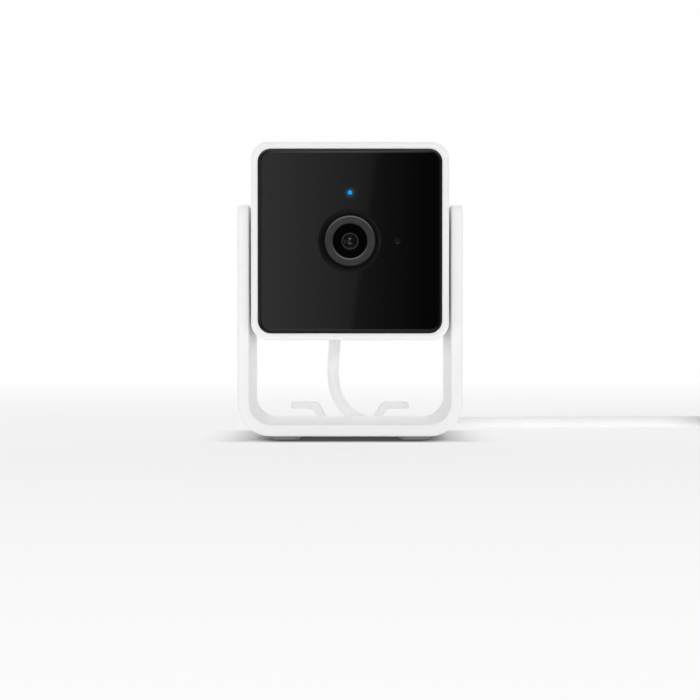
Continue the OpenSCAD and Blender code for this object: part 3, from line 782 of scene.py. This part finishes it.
def cord_relief():
    """Tapered sleeve below the plug, cut by rings so that it bends."""
    top_r, end_r, core_r, ring, lip = 3.3, CORD_R + 0.5, CORD_R + 0.45, 0.7, 0.25
    tall = PORT.z - 5.52 - RELIEF_END
    outer = lambda h: end_r + (top_r - end_r) * h / tall
    profile = [(0, 0), (CORD_R + 0.3, 0), (end_r, lip)]
    for h in (1.2, 2.9, 4.6):
        profile += [(outer(h), h - lip), (outer(h) - 0.12, h - 0.1), (core_r, h),
                    (core_r, h + ring), (outer(h + ring), h + ring + lip)]
    profile += [(outer(tall), tall), (0, tall)]
    at = (PORT.x, BACK + CORD_BACK, RELIEF_END)
    sleeve = turned("cord_relief", profile, Z, at, 40, closed=False)
    return on_head(smooth(sleeve), "cord_white", "plug_strain_relief")


def far_plug():
    """Moulded grip of the far plug, lying on the coil and pointing left."""
    half_w, half_t, thin_r, core_r, neck_r = 7.8, 4, CORD_R + 0.4, CORD_R + 0.5, 3.2
    first, pitch, wide, deep, groove_half = 4.5, 2, 0.9, 0.35, 5
    x0, x1 = PLUG_AT.x - FAR_BODY, PLUG_AT.x - FAR_NECK + 0.1
    y, z = PLUG_AT.y, PLUG_AT.z
    grip = round_block("far_grip", (x0, y - half_w, z - half_t), (x1, y + half_w, z + half_t),
                       2, 6, X)
    round_edges(grip, in_plane(X, x1), 1.6, 5)
    round_edges(grip, in_plane(X, x0), 0.5, 3)
    grooves = []
    for side in (-1, 1):
        face = z + side * half_t
        for i in range(5):
            x = x0 + first + pitch * i
            grooves.append(round_block("groove", (x, y - groove_half, face - deep),
                                       (x + wide, y + groove_half, face + deep), 0.3, 2, Z))
    cut(grip, *grooves)
    profile = [(0, 0), (thin_r, 0)]
    for d in (1.4, 3, 4.6):
        r = thin_r + (neck_r - thin_r) * d / FAR_NECK
        profile += [(r, d), (core_r, d + 0.1), (core_r, d + 0.7), (r + 0.1, d + 0.8)]
    profile += [(neck_r, FAR_NECK), (0, FAR_NECK)]
    neck = turned("far_neck", [(r, -d) for r, d in profile], X, PLUG_AT, 32, closed=False)
    return dress(smooth(joined("far_grip", [grip, neck])), "stand", "cord_white", "far_plug")


def far_shell():
    """Flat metal shell of the far plug, open at the tip, with two latch holes and a tongue."""
    half_w, half_t, wall, latch_y, latch_half = 6, 2.25, 0.3, 2.6, 1.25
    x0, x1 = PLUG_AT.x - FAR_TIP, PLUG_AT.x - FAR_BODY - 0.02
    y, z = PLUG_AT.y, PLUG_AT.z
    shell = round_block("far_shell", (x0, y - half_w, z - half_t), (x1, y + half_w, z + half_t),
                        0.4, 3, X)
    in_w, in_t = half_w - wall, half_t - wall
    cut(shell, box("hollow", (x0 - 1, y - in_w, z - in_t), (x1 - 0.8, y + in_w, z + in_t)))
    for side in (-1, 1):
        latch = y + side * latch_y
        cut(shell, box("latch", (x0 + 5.2, latch - latch_half, z - 3),
                       (x0 + 7.4, latch + latch_half, z + 3)))
    tongue = round_block("tongue", (x0 + 0.8, y - 5.5, z - 1.9), (x1 - 0.5, y + 5.5, z - 0.1),
                         0.3, 2, X)
    tongue.data.materials.append(FINISHES["black_plastic"])
    shell.data.materials.append(FINISHES["plated_steel"])
    piece = smooth(joined("far_shell", [shell, tongue]))
    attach(piece, "stand")
    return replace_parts(piece, "far_plug_shell")


# Stand

def foot_block(name, side, play, steps):
    """Block of a foot, or of the seat that it is let into with some play."""
    x, y = side * FOOT_X, PIVOT.y
    half_w, half_l = FOOT_HALF_W + play, FOOT_HALF_L + play
    return round_block(name, (x - half_w, y - half_l, 0), (x + half_w, y + half_l, FOOT_TOP + play),
                       FOOT_R + play, steps, Z)


def stand_strip():
    """One bent strip: arms, bar, and the two axles that carry the head."""
    half, inner, bar_top, outer_r, inner_r, top_r = 30, 26.9, 4.3, 8.8, 5.9, 2.6
    edge_r, inner_share = 0.8, 0.4
    axle_from, axle_r, axle_long, pilot_r = 22.2, 4, 5.5, 1.25
    slot_half, slot_deep, slot_top = 6.1, 9.6, 2.8
    outline = [(-half, ARM_TOP),
               *arc((-half + outer_r, BAR_LOW + outer_r), outer_r, 180, 270, 16),
               *arc((half - outer_r, BAR_LOW + outer_r), outer_r, 270, 360, 16),
               (half, ARM_TOP), (inner, ARM_TOP),
               *arc((inner - inner_r, bar_top + inner_r), inner_r, 0, -90, 14),
               *arc((-inner + inner_r, bar_top + inner_r), inner_r, 270, 180, 14),
               (-inner, ARM_TOP)]
    strip = prism("stand_strip", [(x, STAND_FRONT, z) for x, z in outline],
                  (0, STAND_REAR - STAND_FRONT, 0))
    round_edges(strip, lambda middle, way: abs(middle.z - ARM_TOP) < SAME_POINT
                and abs(way.x) > ALONG, top_r, 8)
    bend_x, bend_z, bend_r = 21.1, 10, 7.35
    outside = lambda p: math.hypot(max(abs(p.x) - bend_x, 0), max(bend_z - p.z, 0)) - bend_r
    rims = ((lambda middle, way: outside(middle) > 0, 1.0),
            (lambda middle, way: outside(middle) < 0, inner_share))
    with edit_mode(strip):
        for rim, share in rims:
            choose(strip, "EDGE", rim, 40)
            bpy.ops.transform.edge_bevelweight(value=share)
    modify(strip, "BEVEL", width=edge_r * MM, segments=5, limit_method="WEIGHT")
    for side in (-1, 1):
        way = side * UNIT[X]
        axle = rod("axle", (side * axle_from, PIVOT.y, PIVOT.z), way, axle_r, axle_long)
        soften(axle, 0.3, 2)
        cut(axle, rod("pilot", (side * 21, PIVOT.y, PIVOT.z), way, pilot_r, 7, 24))
        fuse(strip, axle)
        cut(strip, foot_block("seat", side, 0.05, 6))
    cut(strip, box("slot", (-slot_half, STAND_REAR - slot_deep, 0),
                   (slot_half, STAND_REAR + 2, slot_top)))
    return dress(smooth(strip), "stand", "white_plastic", "stand_bracket")


def foot(name, side, node):
    """Rubber pad with a hollow, ribbed sole."""
    border, hollow, rib_half, rib_wide, rib_pitch, ribs = 0.9, 0.35, 2.6, 0.8, 3.4, 8
    pad = foot_block(name, side, 0, 8)
    round_edges(pad, in_plane(Z, 0), 0.45, 4)
    with edit_mode(pad):
        choose(pad, "FACE", lambda middle, way: way.z < -FACING)
        bpy.ops.mesh.inset(thickness=border * MM)
        bpy.ops.mesh.inset(thickness=0.1 * MM, depth=-hollow * MM)
    x, front = side * FOOT_X, PIVOT.y - 12.2
    for y in (front + rib_pitch * i for i in range(ribs)):
        fuse(pad, box("rib", (x - rib_half, y, 0.02), (x + rib_half, y + rib_wide, 0.6)))
    return dress(smooth(pad), "stand", "foot_rubber", node)


def cord_hooks():
    """Hat-shaped strip behind the bar: a floor, two slanted legs and two tabs for spare cord."""
    floor_low, floor_top, tab_low, tab_top, tab_end = 1.3, 2.95, 6.45, 8.3, 17.1
    leg_x, leg_z, lean, half_leg, deep = 7.2, 2.225, 0.53, 1.15, 7.3
    tongue_half, tongue_deep, tongue_top, stake_x, stake_r = 6, 8.9, 2.7, 3.5, 1.05
    leg = lambda z: leg_x + lean * (z - leg_z)
    bends = [(leg(floor_low) + half_leg, floor_low, 0.9), (leg(tab_low) + half_leg, tab_low, 1.5),
             (tab_end, tab_low, 0.45), (tab_end, tab_top, 0.45),
             (leg(tab_top) - half_leg, tab_top, 1.1), (leg(floor_top) - half_leg, floor_top, 0.9)]
    outline = [*bends, *[(-x, z, r) for x, z, r in reversed(bends)]]
    strip = prism("cord_hooks", [(x, STAND_REAR + 0.1, z) for x, z, r in outline], (0, deep, 0))
    for x, z, r in outline:
        round_edges(strip, lambda middle, way: abs(way.y) > ALONG
                    and abs(middle.x - x) + abs(middle.z - z) < SAME_POINT, r, 5)
    soften(strip, 0.3, 3, 40)
    fuse(strip, box("tongue", (-tongue_half, STAND_REAR - tongue_deep, floor_low),
                    (tongue_half, STAND_REAR + 1, tongue_top)))
    for side in (-1, 1):
        cut(strip, rod("stake", (side * stake_x, STAND_REAR - 4.5, 1), UNIT[Z], stake_r, 3, 24))
    return dress(smooth(strip), "stand", "white_plastic", "cord_cleat", finish=HOOK_WHITE_PAINTED_LIGHT)


def spacer(name, side, node):
    """Ring between the head and an arm, with a groove round its rim."""
    profile = [(4.1, 25.95), (4.2, 25.85), (7.25, 25.85), (7.4, 26.0), (7.4, 26.2), (7.25, 26.25),
               (7.25, 26.45), (7.4, 26.5), (7.4, 26.7), (7.25, 26.85), (4.2, 26.85), (4.1, 26.75)]
    ring = turned(name, [(r, side * d) for r, d in profile], X, PIVOT, 64)
    return dress(smooth(ring), "stand", "pivot_plastic", node)


# Head

def corners(at):
    return [(x * at, z * at) for x in (-1, 1) for z in (-1, 1)]


def head_casing():
    """Square casing with a pocket for the glass, four screw bosses and the pivots' bores."""
    ledge, rim_r, boss_from, boss_r, boss_long, thread_r, bore_r = 21.5, 0.9, 9.6, 3.9, 7.3, 1, 6
    casing = square_block("head_casing", HALF, FRONT, SEAM, HEAD_R)
    round_edges(casing, in_plane(Y, FRONT), rim_r, 5)
    cut(casing, square_block("pocket", INSIDE, FRONT - 1, PANEL_BACK + 0.3, GLASS_R),
        square_block("window", ledge, FRONT, LEDGE_BACK + 1, 2, 6),
        square_block("hollow", INSIDE, LEDGE_BACK, SEAM + 1, POCKET_R))
    at_pocket = lambda p: abs(off_square(p, INSIDE, GLASS_R)) < NEAR_RIM
    round_edges(casing, in_plane(Y, FRONT, at_pocket), 0.04, 2)
    for x, z in corners(BOSS_AT):
        boss = rod("boss", (x, boss_from, z), UNIT[Y], boss_r, boss_long, 32)
        cut(boss, rod("thread", (x, 8, z), UNIT[Y], thread_r, 10, 20))
        keep = square_block("keep", INSIDE + 0.5, 0, SEAM, POCKET_R)
        fuse(casing, combine(boss, "INTERSECT", [keep]))
    cut(casing, rod("bores", (-30, 0, 0), UNIT[X], bore_r, 60, 64))
    return on_head(smooth(casing), "white_plastic", "head_shell")


def flared_hole(name, x, z, r, flare=0.15, low=COVER_IN - 1, sides=20):
    """Cutter through the rear cover that also breaks the hole's outer edge."""
    wide, past = r + flare, BACK + 1
    profile = [(0, low), (r, low), (r, BACK - flare), (wide, BACK), (wide, past), (0, past)]
    return turned(name, profile, Y, (x, 0, z), sides, closed=False)


def back_cover():
    """Rear cover with its lips, posts, grille, port, button hole and sunk screw holes."""
    start, wall, lip, lip_t, lip_half = SEAM + 0.05, INSIDE - 0.8, INSIDE - 0.1, 1, 14
    posts, post_r = [(-17.5, 2), (17.5, 2), (-13, -20), (13, -20)], 2.4
    post_from, post_long, boss_r, boss_long, thread_r = 9.25, 10.25, 3.2, 2.45, 1
    grille_pitch, grille_rings, hole_r = 2.1, 4, 0.6
    port_half_w, port_half_t, sink_r, shank_r = 4.3, 1.8, 2.2, 1.3
    cover = square_block("back_cover", HALF, start, BACK, HEAD_R)
    round_edges(cover, in_plane(Y, BACK), 3, 8)
    cut(cover, square_block("hollow", wall, SEAM - 1, COVER_IN, POCKET_R, 8))
    for x, z in ((0, 1), (0, -1), (1, 0), (-1, 0)):
        inner = lip - lip_t
        a = Vector((lip_half * abs(z) + lip * x, 0, lip_half * abs(x) + lip * z))
        b = Vector((-lip_half * abs(z) + inner * x, 0, -lip_half * abs(x) + inner * z))
        low = Vector((min(a.x, b.x), SEAM - 2.4, min(a.z, b.z)))
        high = Vector((max(a.x, b.x), SEAM + 1, max(a.z, b.z)))
        fuse(cover, box("lip", low, high))
    for x, z in posts:
        post = rod("post", (x, post_from, z), UNIT[Y], post_r, post_long, 24)
        fuse(cover, cut(post, rod("thread", (x, 8, z), UNIT[Y], thread_r, 10.5, 16)))
    for x, z in corners(BOSS_AT):
        fuse(cover, rod("boss", (x, start, z), UNIT[Y], boss_r, boss_long, 32))
    holes = [flared_hole("hole", 0, SPEAKER_Z, hole_r)]
    for ring in range(1, grille_rings + 1):
        r = grille_pitch * ring
        for a in (TURN * k / (6 * ring) for k in range(6 * ring)):
            holes.append(copy_of(holes[0], (r * math.cos(a), 0, r * math.sin(a))))
    cut(cover, joined("grille", holes))
    port = round_block("port", PORT + Vector((-port_half_w, COVER_IN - 1, -port_half_t)),
                       PORT + Vector((port_half_w, BACK + 1, port_half_t)), 0.8, 5)
    cut(cover, port, flared_hole("button", BUTTON.x, BUTTON.z, 2.0, 0.2, sides=40))
    for x, z in corners(BOSS_AT):
        cut(cover, flared_hole("sink", x, z, sink_r, 0.2, COVER_IN + 0.6, 32),
            rod("shank", (x, SEAM - 1, z), UNIT[Y], shank_r, 4, 20))
    at_port = lambda p: (abs(p.x - PORT.x) < port_half_w + 0.2
                         and abs(p.z - PORT.z) < port_half_t + 0.2)
    round_edges(cover, in_plane(Y, BACK, at_port), 0.2, 2)
    return on_head(smooth(cover), "white_plastic", "rear_cover")


def front_glass():
    """Front sheet with a low rounded edge, cut for the lens, the light and the microphone."""
    half, wide, deep, steps = INSIDE - 0.02, 1, 0.5, 8
    sheet = square_block("front_glass", half, FRONT + deep, PANEL_BACK, GLASS_R - 0.02)
    with edit_mode(sheet):
        choose(sheet, "FACE", lambda middle, way: way.y < -FACING)
        rim = arc((0, 0), 1, 0, 90, steps)
        for (x0, y0), (x1, y1) in zip(rim, rim[1:]):
            bpy.ops.mesh.inset(thickness=wide * (x0 - x1) * MM, depth=deep * (y1 - y0) * MM)
    holes = [(0, 0, DISH_R, 128, 0.05), (0, LIGHT_Z, 1.2, 40, 0.05), (MIC_X, 0, 0.6, 32, 0.18)]
    for x, z, r, sides, rim in holes:
        cut(sheet, rod("hole", (x, FRONT - 1, z), UNIT[Y], r, 4, sides))
    for x, z, r, sides, rim in holes:
        at_hole = lambda p: abs(math.hypot(p.x - x, p.z - z) - r) < NEAR_RIM
        round_edges(sheet, in_plane(Y, FRONT, at_hole), rim, 3)
    return on_head(smooth(sheet), "panel_black", "front_panel")


def mic_seal():
    """Soft sleeve behind the microphone's hole, closed by a fine cloth."""
    front, back = PANEL_BACK + 0.05, PANEL_BACK + 1.05
    profile = [(0, front + 0.25), (0.62, front + 0.25), (0.62, front + 0.04), (0.7, front),
               (1.42, front), (1.5, front + 0.08), (1.5, back), (0.6, back), (0.6, front + 0.4),
               (0, front + 0.4)]
    seal = turned("mic_seal", profile, Y, (MIC_X, 0, 0), 40, closed=False)
    return on_head(smooth(seal), "soft_black", "mic_boot")


def lens_dish():
    """Shallow dish that leads from the glass down to the lens ring."""
    flange, back = PANEL_BACK + 0.05, PANEL_BACK + 1
    profile = [(6.6, FRONT + 0.52), (6.7, FRONT + 0.5), (7.4, FRONT + 0.3), (8.0, FRONT + 0.07),
               (8.12, FRONT + 0.05), (8.18, FRONT + 0.1), (8.18, flange), (9.6, flange),
               (9.6, back), (6.6, back)]
    dish = smooth(turned("lens_dish", profile, steps=128))
    return on_head(dish, "black_plastic", "lens_surround", finish=DISH_BLACK)


def lens_bezel():
    """Raised ring with broken edges."""
    face, slope, deep, back = FRONT - 1.2, 0.42, 0.25, PANEL_BACK + 1
    profile = [(RING_BORE + slope, face), (RING_R - 0.36, face), (RING_R - 0.04, face + 0.19),
               (RING_R, face + 0.27), (RING_R, back), (RING_BORE, back),
               (RING_BORE, face + deep + 0.08), (RING_BORE + 0.06, face + deep - 0.03)]
    return on_head(smooth(turned("lens_bezel", profile, steps=128), 25), "ring_metal", "lens_ring")


def lens_funnel():
    """Stepped black funnel and the barrel behind it."""
    mouth_r, bore, mouth, levels = RING_BORE - 0.05, 2.3, FRONT - 0.3, 5
    barrel_r, neck_r, shoulder, end = 5.5, 2.6, -20, -10
    profile = [(mouth_r, mouth)]
    for i in range(levels):
        r = mouth_r + (bore - mouth_r) * (i + 1) / levels
        d = mouth + (i + 1) / levels
        profile += [(r + 0.08, d - 1 / levels), (r + 0.04, d)] if i < levels - 1 else [(bore, d)]
    profile += [(bore, shoulder), (neck_r, shoulder), (neck_r, end), (barrel_r, end),
                (barrel_r, PANEL_BACK + 1.1), (mouth_r, PANEL_BACK + 1.1)]
    funnel = smooth(turned("lens_funnel", profile, steps=96), 25)
    return on_head(funnel, "black_plastic", "lens_barrel", finish=FUNNEL_BLACK)


def lens_lock_ring():
    """Thin ring that holds the front lens."""
    face, back = -25.25, -24.6
    profile = [(1.8, -25.1), (1.9, face), (2.17, face), (2.27, -25.15), (2.27, back), (1.8, back)]
    ring = smooth(turned("lens_lock_ring", profile, steps=64), 25)
    return on_head(ring, "ring_metal", "lens_retainer")


def lens_front_glass():
    """Front lens with a steep dome."""
    bulge_r, ball, steps = 1.75, 6, 12
    apex = FRONT + 1.19
    radii = [bulge_r * i / steps for i in range(steps + 1)]
    dome = [(r, apex + ball - math.sqrt(ball ** 2 - r ** 2)) for r in radii]
    profile = [*dome, (2.27, -24.55), (2.27, -22.6), (2.17, -22.5), (0, -22.5)]
    glass = smooth(turned("lens_front_glass", profile, steps=64, closed=False))
    return on_head(glass, "lens_glass", "front_lens")


def status_window():
    """Round window of the status light, with a flange behind the glass."""
    face, flange, back = FRONT + 0.02, -24.3, -23.25
    profile = [(0, face), (0.7, face), (1.08, FRONT + 0.05), (1.15, FRONT + 0.12), (1.15, flange),
               (1.6, flange), (1.6, back), (0, back)]
    window = turned("status_window", profile, Y, (0, 0, LIGHT_Z), 40, closed=False)
    return on_head(smooth(window), "status_blue", "light_pipe")


def reset_cap():
    """Small round button with a hollow for a fingertip."""
    stem_r, collar_r, end = 1.93, 2.9, 12.6
    profile = [(0, BACK + 0.14), (0.7, BACK + 0.17), (1.25, BACK + 0.27), (1.55, BACK + 0.3),
               (1.8, BACK + 0.24), (stem_r, BACK + 0.05), (stem_r, 18.9), (collar_r - 0.1, 18.9),
               (collar_r, 18.8), (collar_r, 17.4), (collar_r - 0.1, 17.3), (stem_r, 17.3),
               (stem_r, end + 0.1), (stem_r - 0.1, end), (0, end)]
    cap = turned("reset_cap", profile, Y, BUTTON, 48, closed=False)
    return dress(shift(smooth(cap), PIVOT), "reset_key", "white_plastic", "reset_button")


def cover_screws():
    """Cross-head screws in the rear cover."""
    face, seat, tip = COVER_IN + 1.75, COVER_IN + 0.65, SEAM - 5
    crest, core, pitch, slot_long, slot_half = 0.95, 0.72, 0.5, 1.2, 0.22
    profile = [(0, face), (1.1, face - 0.05), (1.7, face - 0.25), (2, face - 0.6), (2, seat),
               (crest, seat)]
    d = seat
    while d > tip + 0.8:
        profile += [(crest, d - 0.1), (core, d - 0.3), (crest, d - pitch)]
        d -= pitch
    profile += [(0.7, tip), (0, tip)]
    screw = turned("cover_screws", profile, steps=32, closed=False)
    for x, z in ((slot_long, slot_half), (slot_half, slot_long)):
        cut(screw, box("slot", (-x, face - 0.6, -z), (x, face + 1, z)))
    screws = [copy_of(screw, (x, 0, z)) for x, z in corners(BOSS_AT)]
    bpy.data.meshes.remove(screw.data)
    return on_head(smooth(joined("cover_screws", screws)), "plated_steel", "rear_cover_screws")


# Floor, background and light

def stage_plane(name, size, middle, turn=(0, 0, 0)):
    bpy.ops.object.select_all(action="DESELECT")
    bpy.ops.mesh.primitive_plane_add(size=size, location=middle, rotation=turn)
    plane = settle(name)
    return plane


def pale_floor():
    """Pale floor with the object's soft shadow, a painted shadow under the bar and a fade to white.
    """
    floor = stage_plane("floor", 12, (0, 0, 0))
    floor.visible_glossy = False
    f = Finish("pale_floor", Roughness=0.9, Specular_IOR_Level=0.1)
    f.set(Base_Color=f.mix(f.noise(40), rgb(0.9), rgb(0.92)))
    x, y, z = f.axes()
    bar_x, bar_y = 0.027, 0.016
    off = (abs(x) - bar_x).most(abs(y) - bar_y)
    # Share of plain white: little under the bar, most beside it and all of it far off
    white = 0.04 + 0.66 * f.step(off, -0.003, 0.008) + 0.3 * f.step(off, 0.02, 0.4)
    surface = Level(f, f.shader.outputs[0])
    lit = f.add("ShaderNodeMixShader", {}, {0: white, 1: surface, 2: f.glow(rgb(1))})
    # Painted shadow: for camera rays only, a dim glow stands in for the floor under the bar,
    # fainter at its curved ends
    seen = f.add("ShaderNodeLightPath", out="Is Camera Ray")
    ends = 1 - 0.8 * f.step(abs(x), 0.018, bar_x) - 0.2 * f.step(abs(x), bar_x, 0.042)
    painted_shadow = 0.95 * seen * ends * (1 - f.step(abs(y), 0.0175, 0.025))
    f.show(f.add("ShaderNodeMixShader", {}, {0: painted_shadow, 1: lit, 2: f.glow(rgb(0.06))}))
    floor.data.materials.append(f.material)


def front_card():
    """What the glossy front mirrors: a dim room, lighter on the left, with a soft slanted edge.

    Two bright patches, above and below, give the lens its highlights. The slanted edge and the
    levels beside it are laid out by where the camera sees them on the glass, in millimetres.
    """
    away, glass, eye, middle = -0.6, -0.0251, 0.382, 0.085
    edge_x, edge_z, edge_lean, edge_soft = 1.56, 46.7, 0.139, 1.2
    patches = ((0.22, 0.09, 0.08, 2.9), (-0.03, 0.14, 0.042, 2.5))
    zoom = 1 + (glass - away) / eye
    card = stage_plane("front_card", 1.0, (0, away, middle), (TURN / 4, 0, 0))
    f = Finish("front_card")
    x, y, z = f.axes()
    to_left, off_middle = -1 * x, abs(z - middle)
    on_glass = x * (1 / (zoom * MM))
    edge = edge_x + edge_lean / zoom * (z * (1 / MM) - edge_z)
    past = f.step(on_glass - edge, -edge_soft, edge_soft)
    dip = 0.75 * f.step(to_left, 0.07, 0.12) - 0.75 * f.step(to_left, 0.22, 0.3)
    left = (0.3525 - 0.0151 * on_glass).least(0.75) * (1 - dip)
    right = (0.19 - 0.0079 * on_glass).most(0.03)
    mirrored = left + past * (right - left)
    aside = f.step(x, 0.068, 0.12) + f.step(to_left, 0.42, 0.5)
    above = f.step(off_middle, 0.09, 0.16)
    dim = 0.12 + 0.45 * f.step(off_middle, 0.27, 0.36)
    level = mirrored + aside.most(above) * (dim - mirrored)
    for high, wide, tall, strength in patches:
        across, along = x * (1 / wide), (z - high) * (1 / tall)
        off = (across * across + along * along).root()
        level = level + strength * (1 - f.step(off, 0.3, 1.0))
    f.show(f.glow(rgb(1), level))
    card.data.materials.append(f.material)
    for way in ("camera", "diffuse", "shadow", "volume_scatter"):
        setattr(card, "visible_" + way, False)


def soft_light(name, power, at, wide, tall):
    """Large lamp aimed at the stand, kept out of what the gloss mirrors."""
    lamp = bpy.data.lights.new(name, "AREA")
    lamp.energy = power
    lamp.shape = "RECTANGLE"
    lamp.size, lamp.size_y = wide, tall
    obj = bpy.data.objects.new(name, lamp)
    obj.location = at
    aim = Vector((0, 0, 0.03)) - obj.location
    obj.rotation_euler = aim.to_track_quat("-Z", "Y").to_euler()
    obj.visible_glossy = False
    bpy.context.scene.collection.objects.link(obj)


def studio_light():
    """Even room, a little brighter above, and three low lamps.

    What gloss mirrors is brighter behind and above, and the camera sees white.
    """
    world = bpy.data.worlds.new("studio")
    bpy.context.scene.world = world
    world.use_nodes = True
    f = Nodes(world.node_tree)
    path = f.add("ShaderNodeLightPath")
    seen, glossy, through = f.outputs(
        path, ("Is Camera Ray", "Is Glossy Ray", "Is Transmission Ray"))
    x, back, up = f.axes("Generated")
    room = 0.3 + 0.22 * f.step(back, -0.4, 0.4) + 0.28 * f.step(up, 0.3, 0.9)
    walls = (0.5 + 0.6 * f.step(back, -0.2, 0.6)) * (0.8 + 0.2 * f.step(up, -0.95, -0.6))
    mirrored = walls + 1.3 * f.step(up, 0.2, 0.9)
    level = room + glossy.most(through) * (mirrored - room)
    background = f.tree.nodes["Background"]
    f.feed(background.inputs["Color"], rgb(1))
    f.feed(background.inputs["Strength"], level + seen * (1 - level))
    soft_light("soft_front", 5.45, (0, -1.2, 0.1), 0.9, 0.2)
    for side in (-1, 1):
        soft_light("soft_rear", 1.9, (side * 0.8, 0.75, 0.11), 0.5, 0.22)


set_camera()
cord, cord_line, cord_length = power_cord()
strap = cord_strap()
plug, relief = cord_plug(), cord_relief()
far_end, far_tip = far_plug(), far_shell()
stand_strip()
foot("left_foot", -1, "foot_left")
foot("right_foot", 1, "foot_right")
cord_hooks()
spacer("left_spacer", -1, "friction_ring_left")
spacer("right_spacer", 1, "friction_ring_right")
head_casing()
back_cover()
front_glass()
mic_seal()
lens_dish()
lens_bezel()
lens_funnel()
lens_lock_ring()
lens_front_glass()
status_window()
reset_cap()
cover_screws()

for part in frame["record"]["subparts"]:
    solid = frame["nodes"][part["node"]]
    if not solid.hide_render:
        solid.data.materials.clear()
        solid.data.materials.append(FINISHES[part["material_slot"]])

cord_line[0] * MM
[p * MM for p in cord_line]

pale_floor()
front_card()
studio_light()
bpy.context.scene.view_settings.view_transform = "Standard"
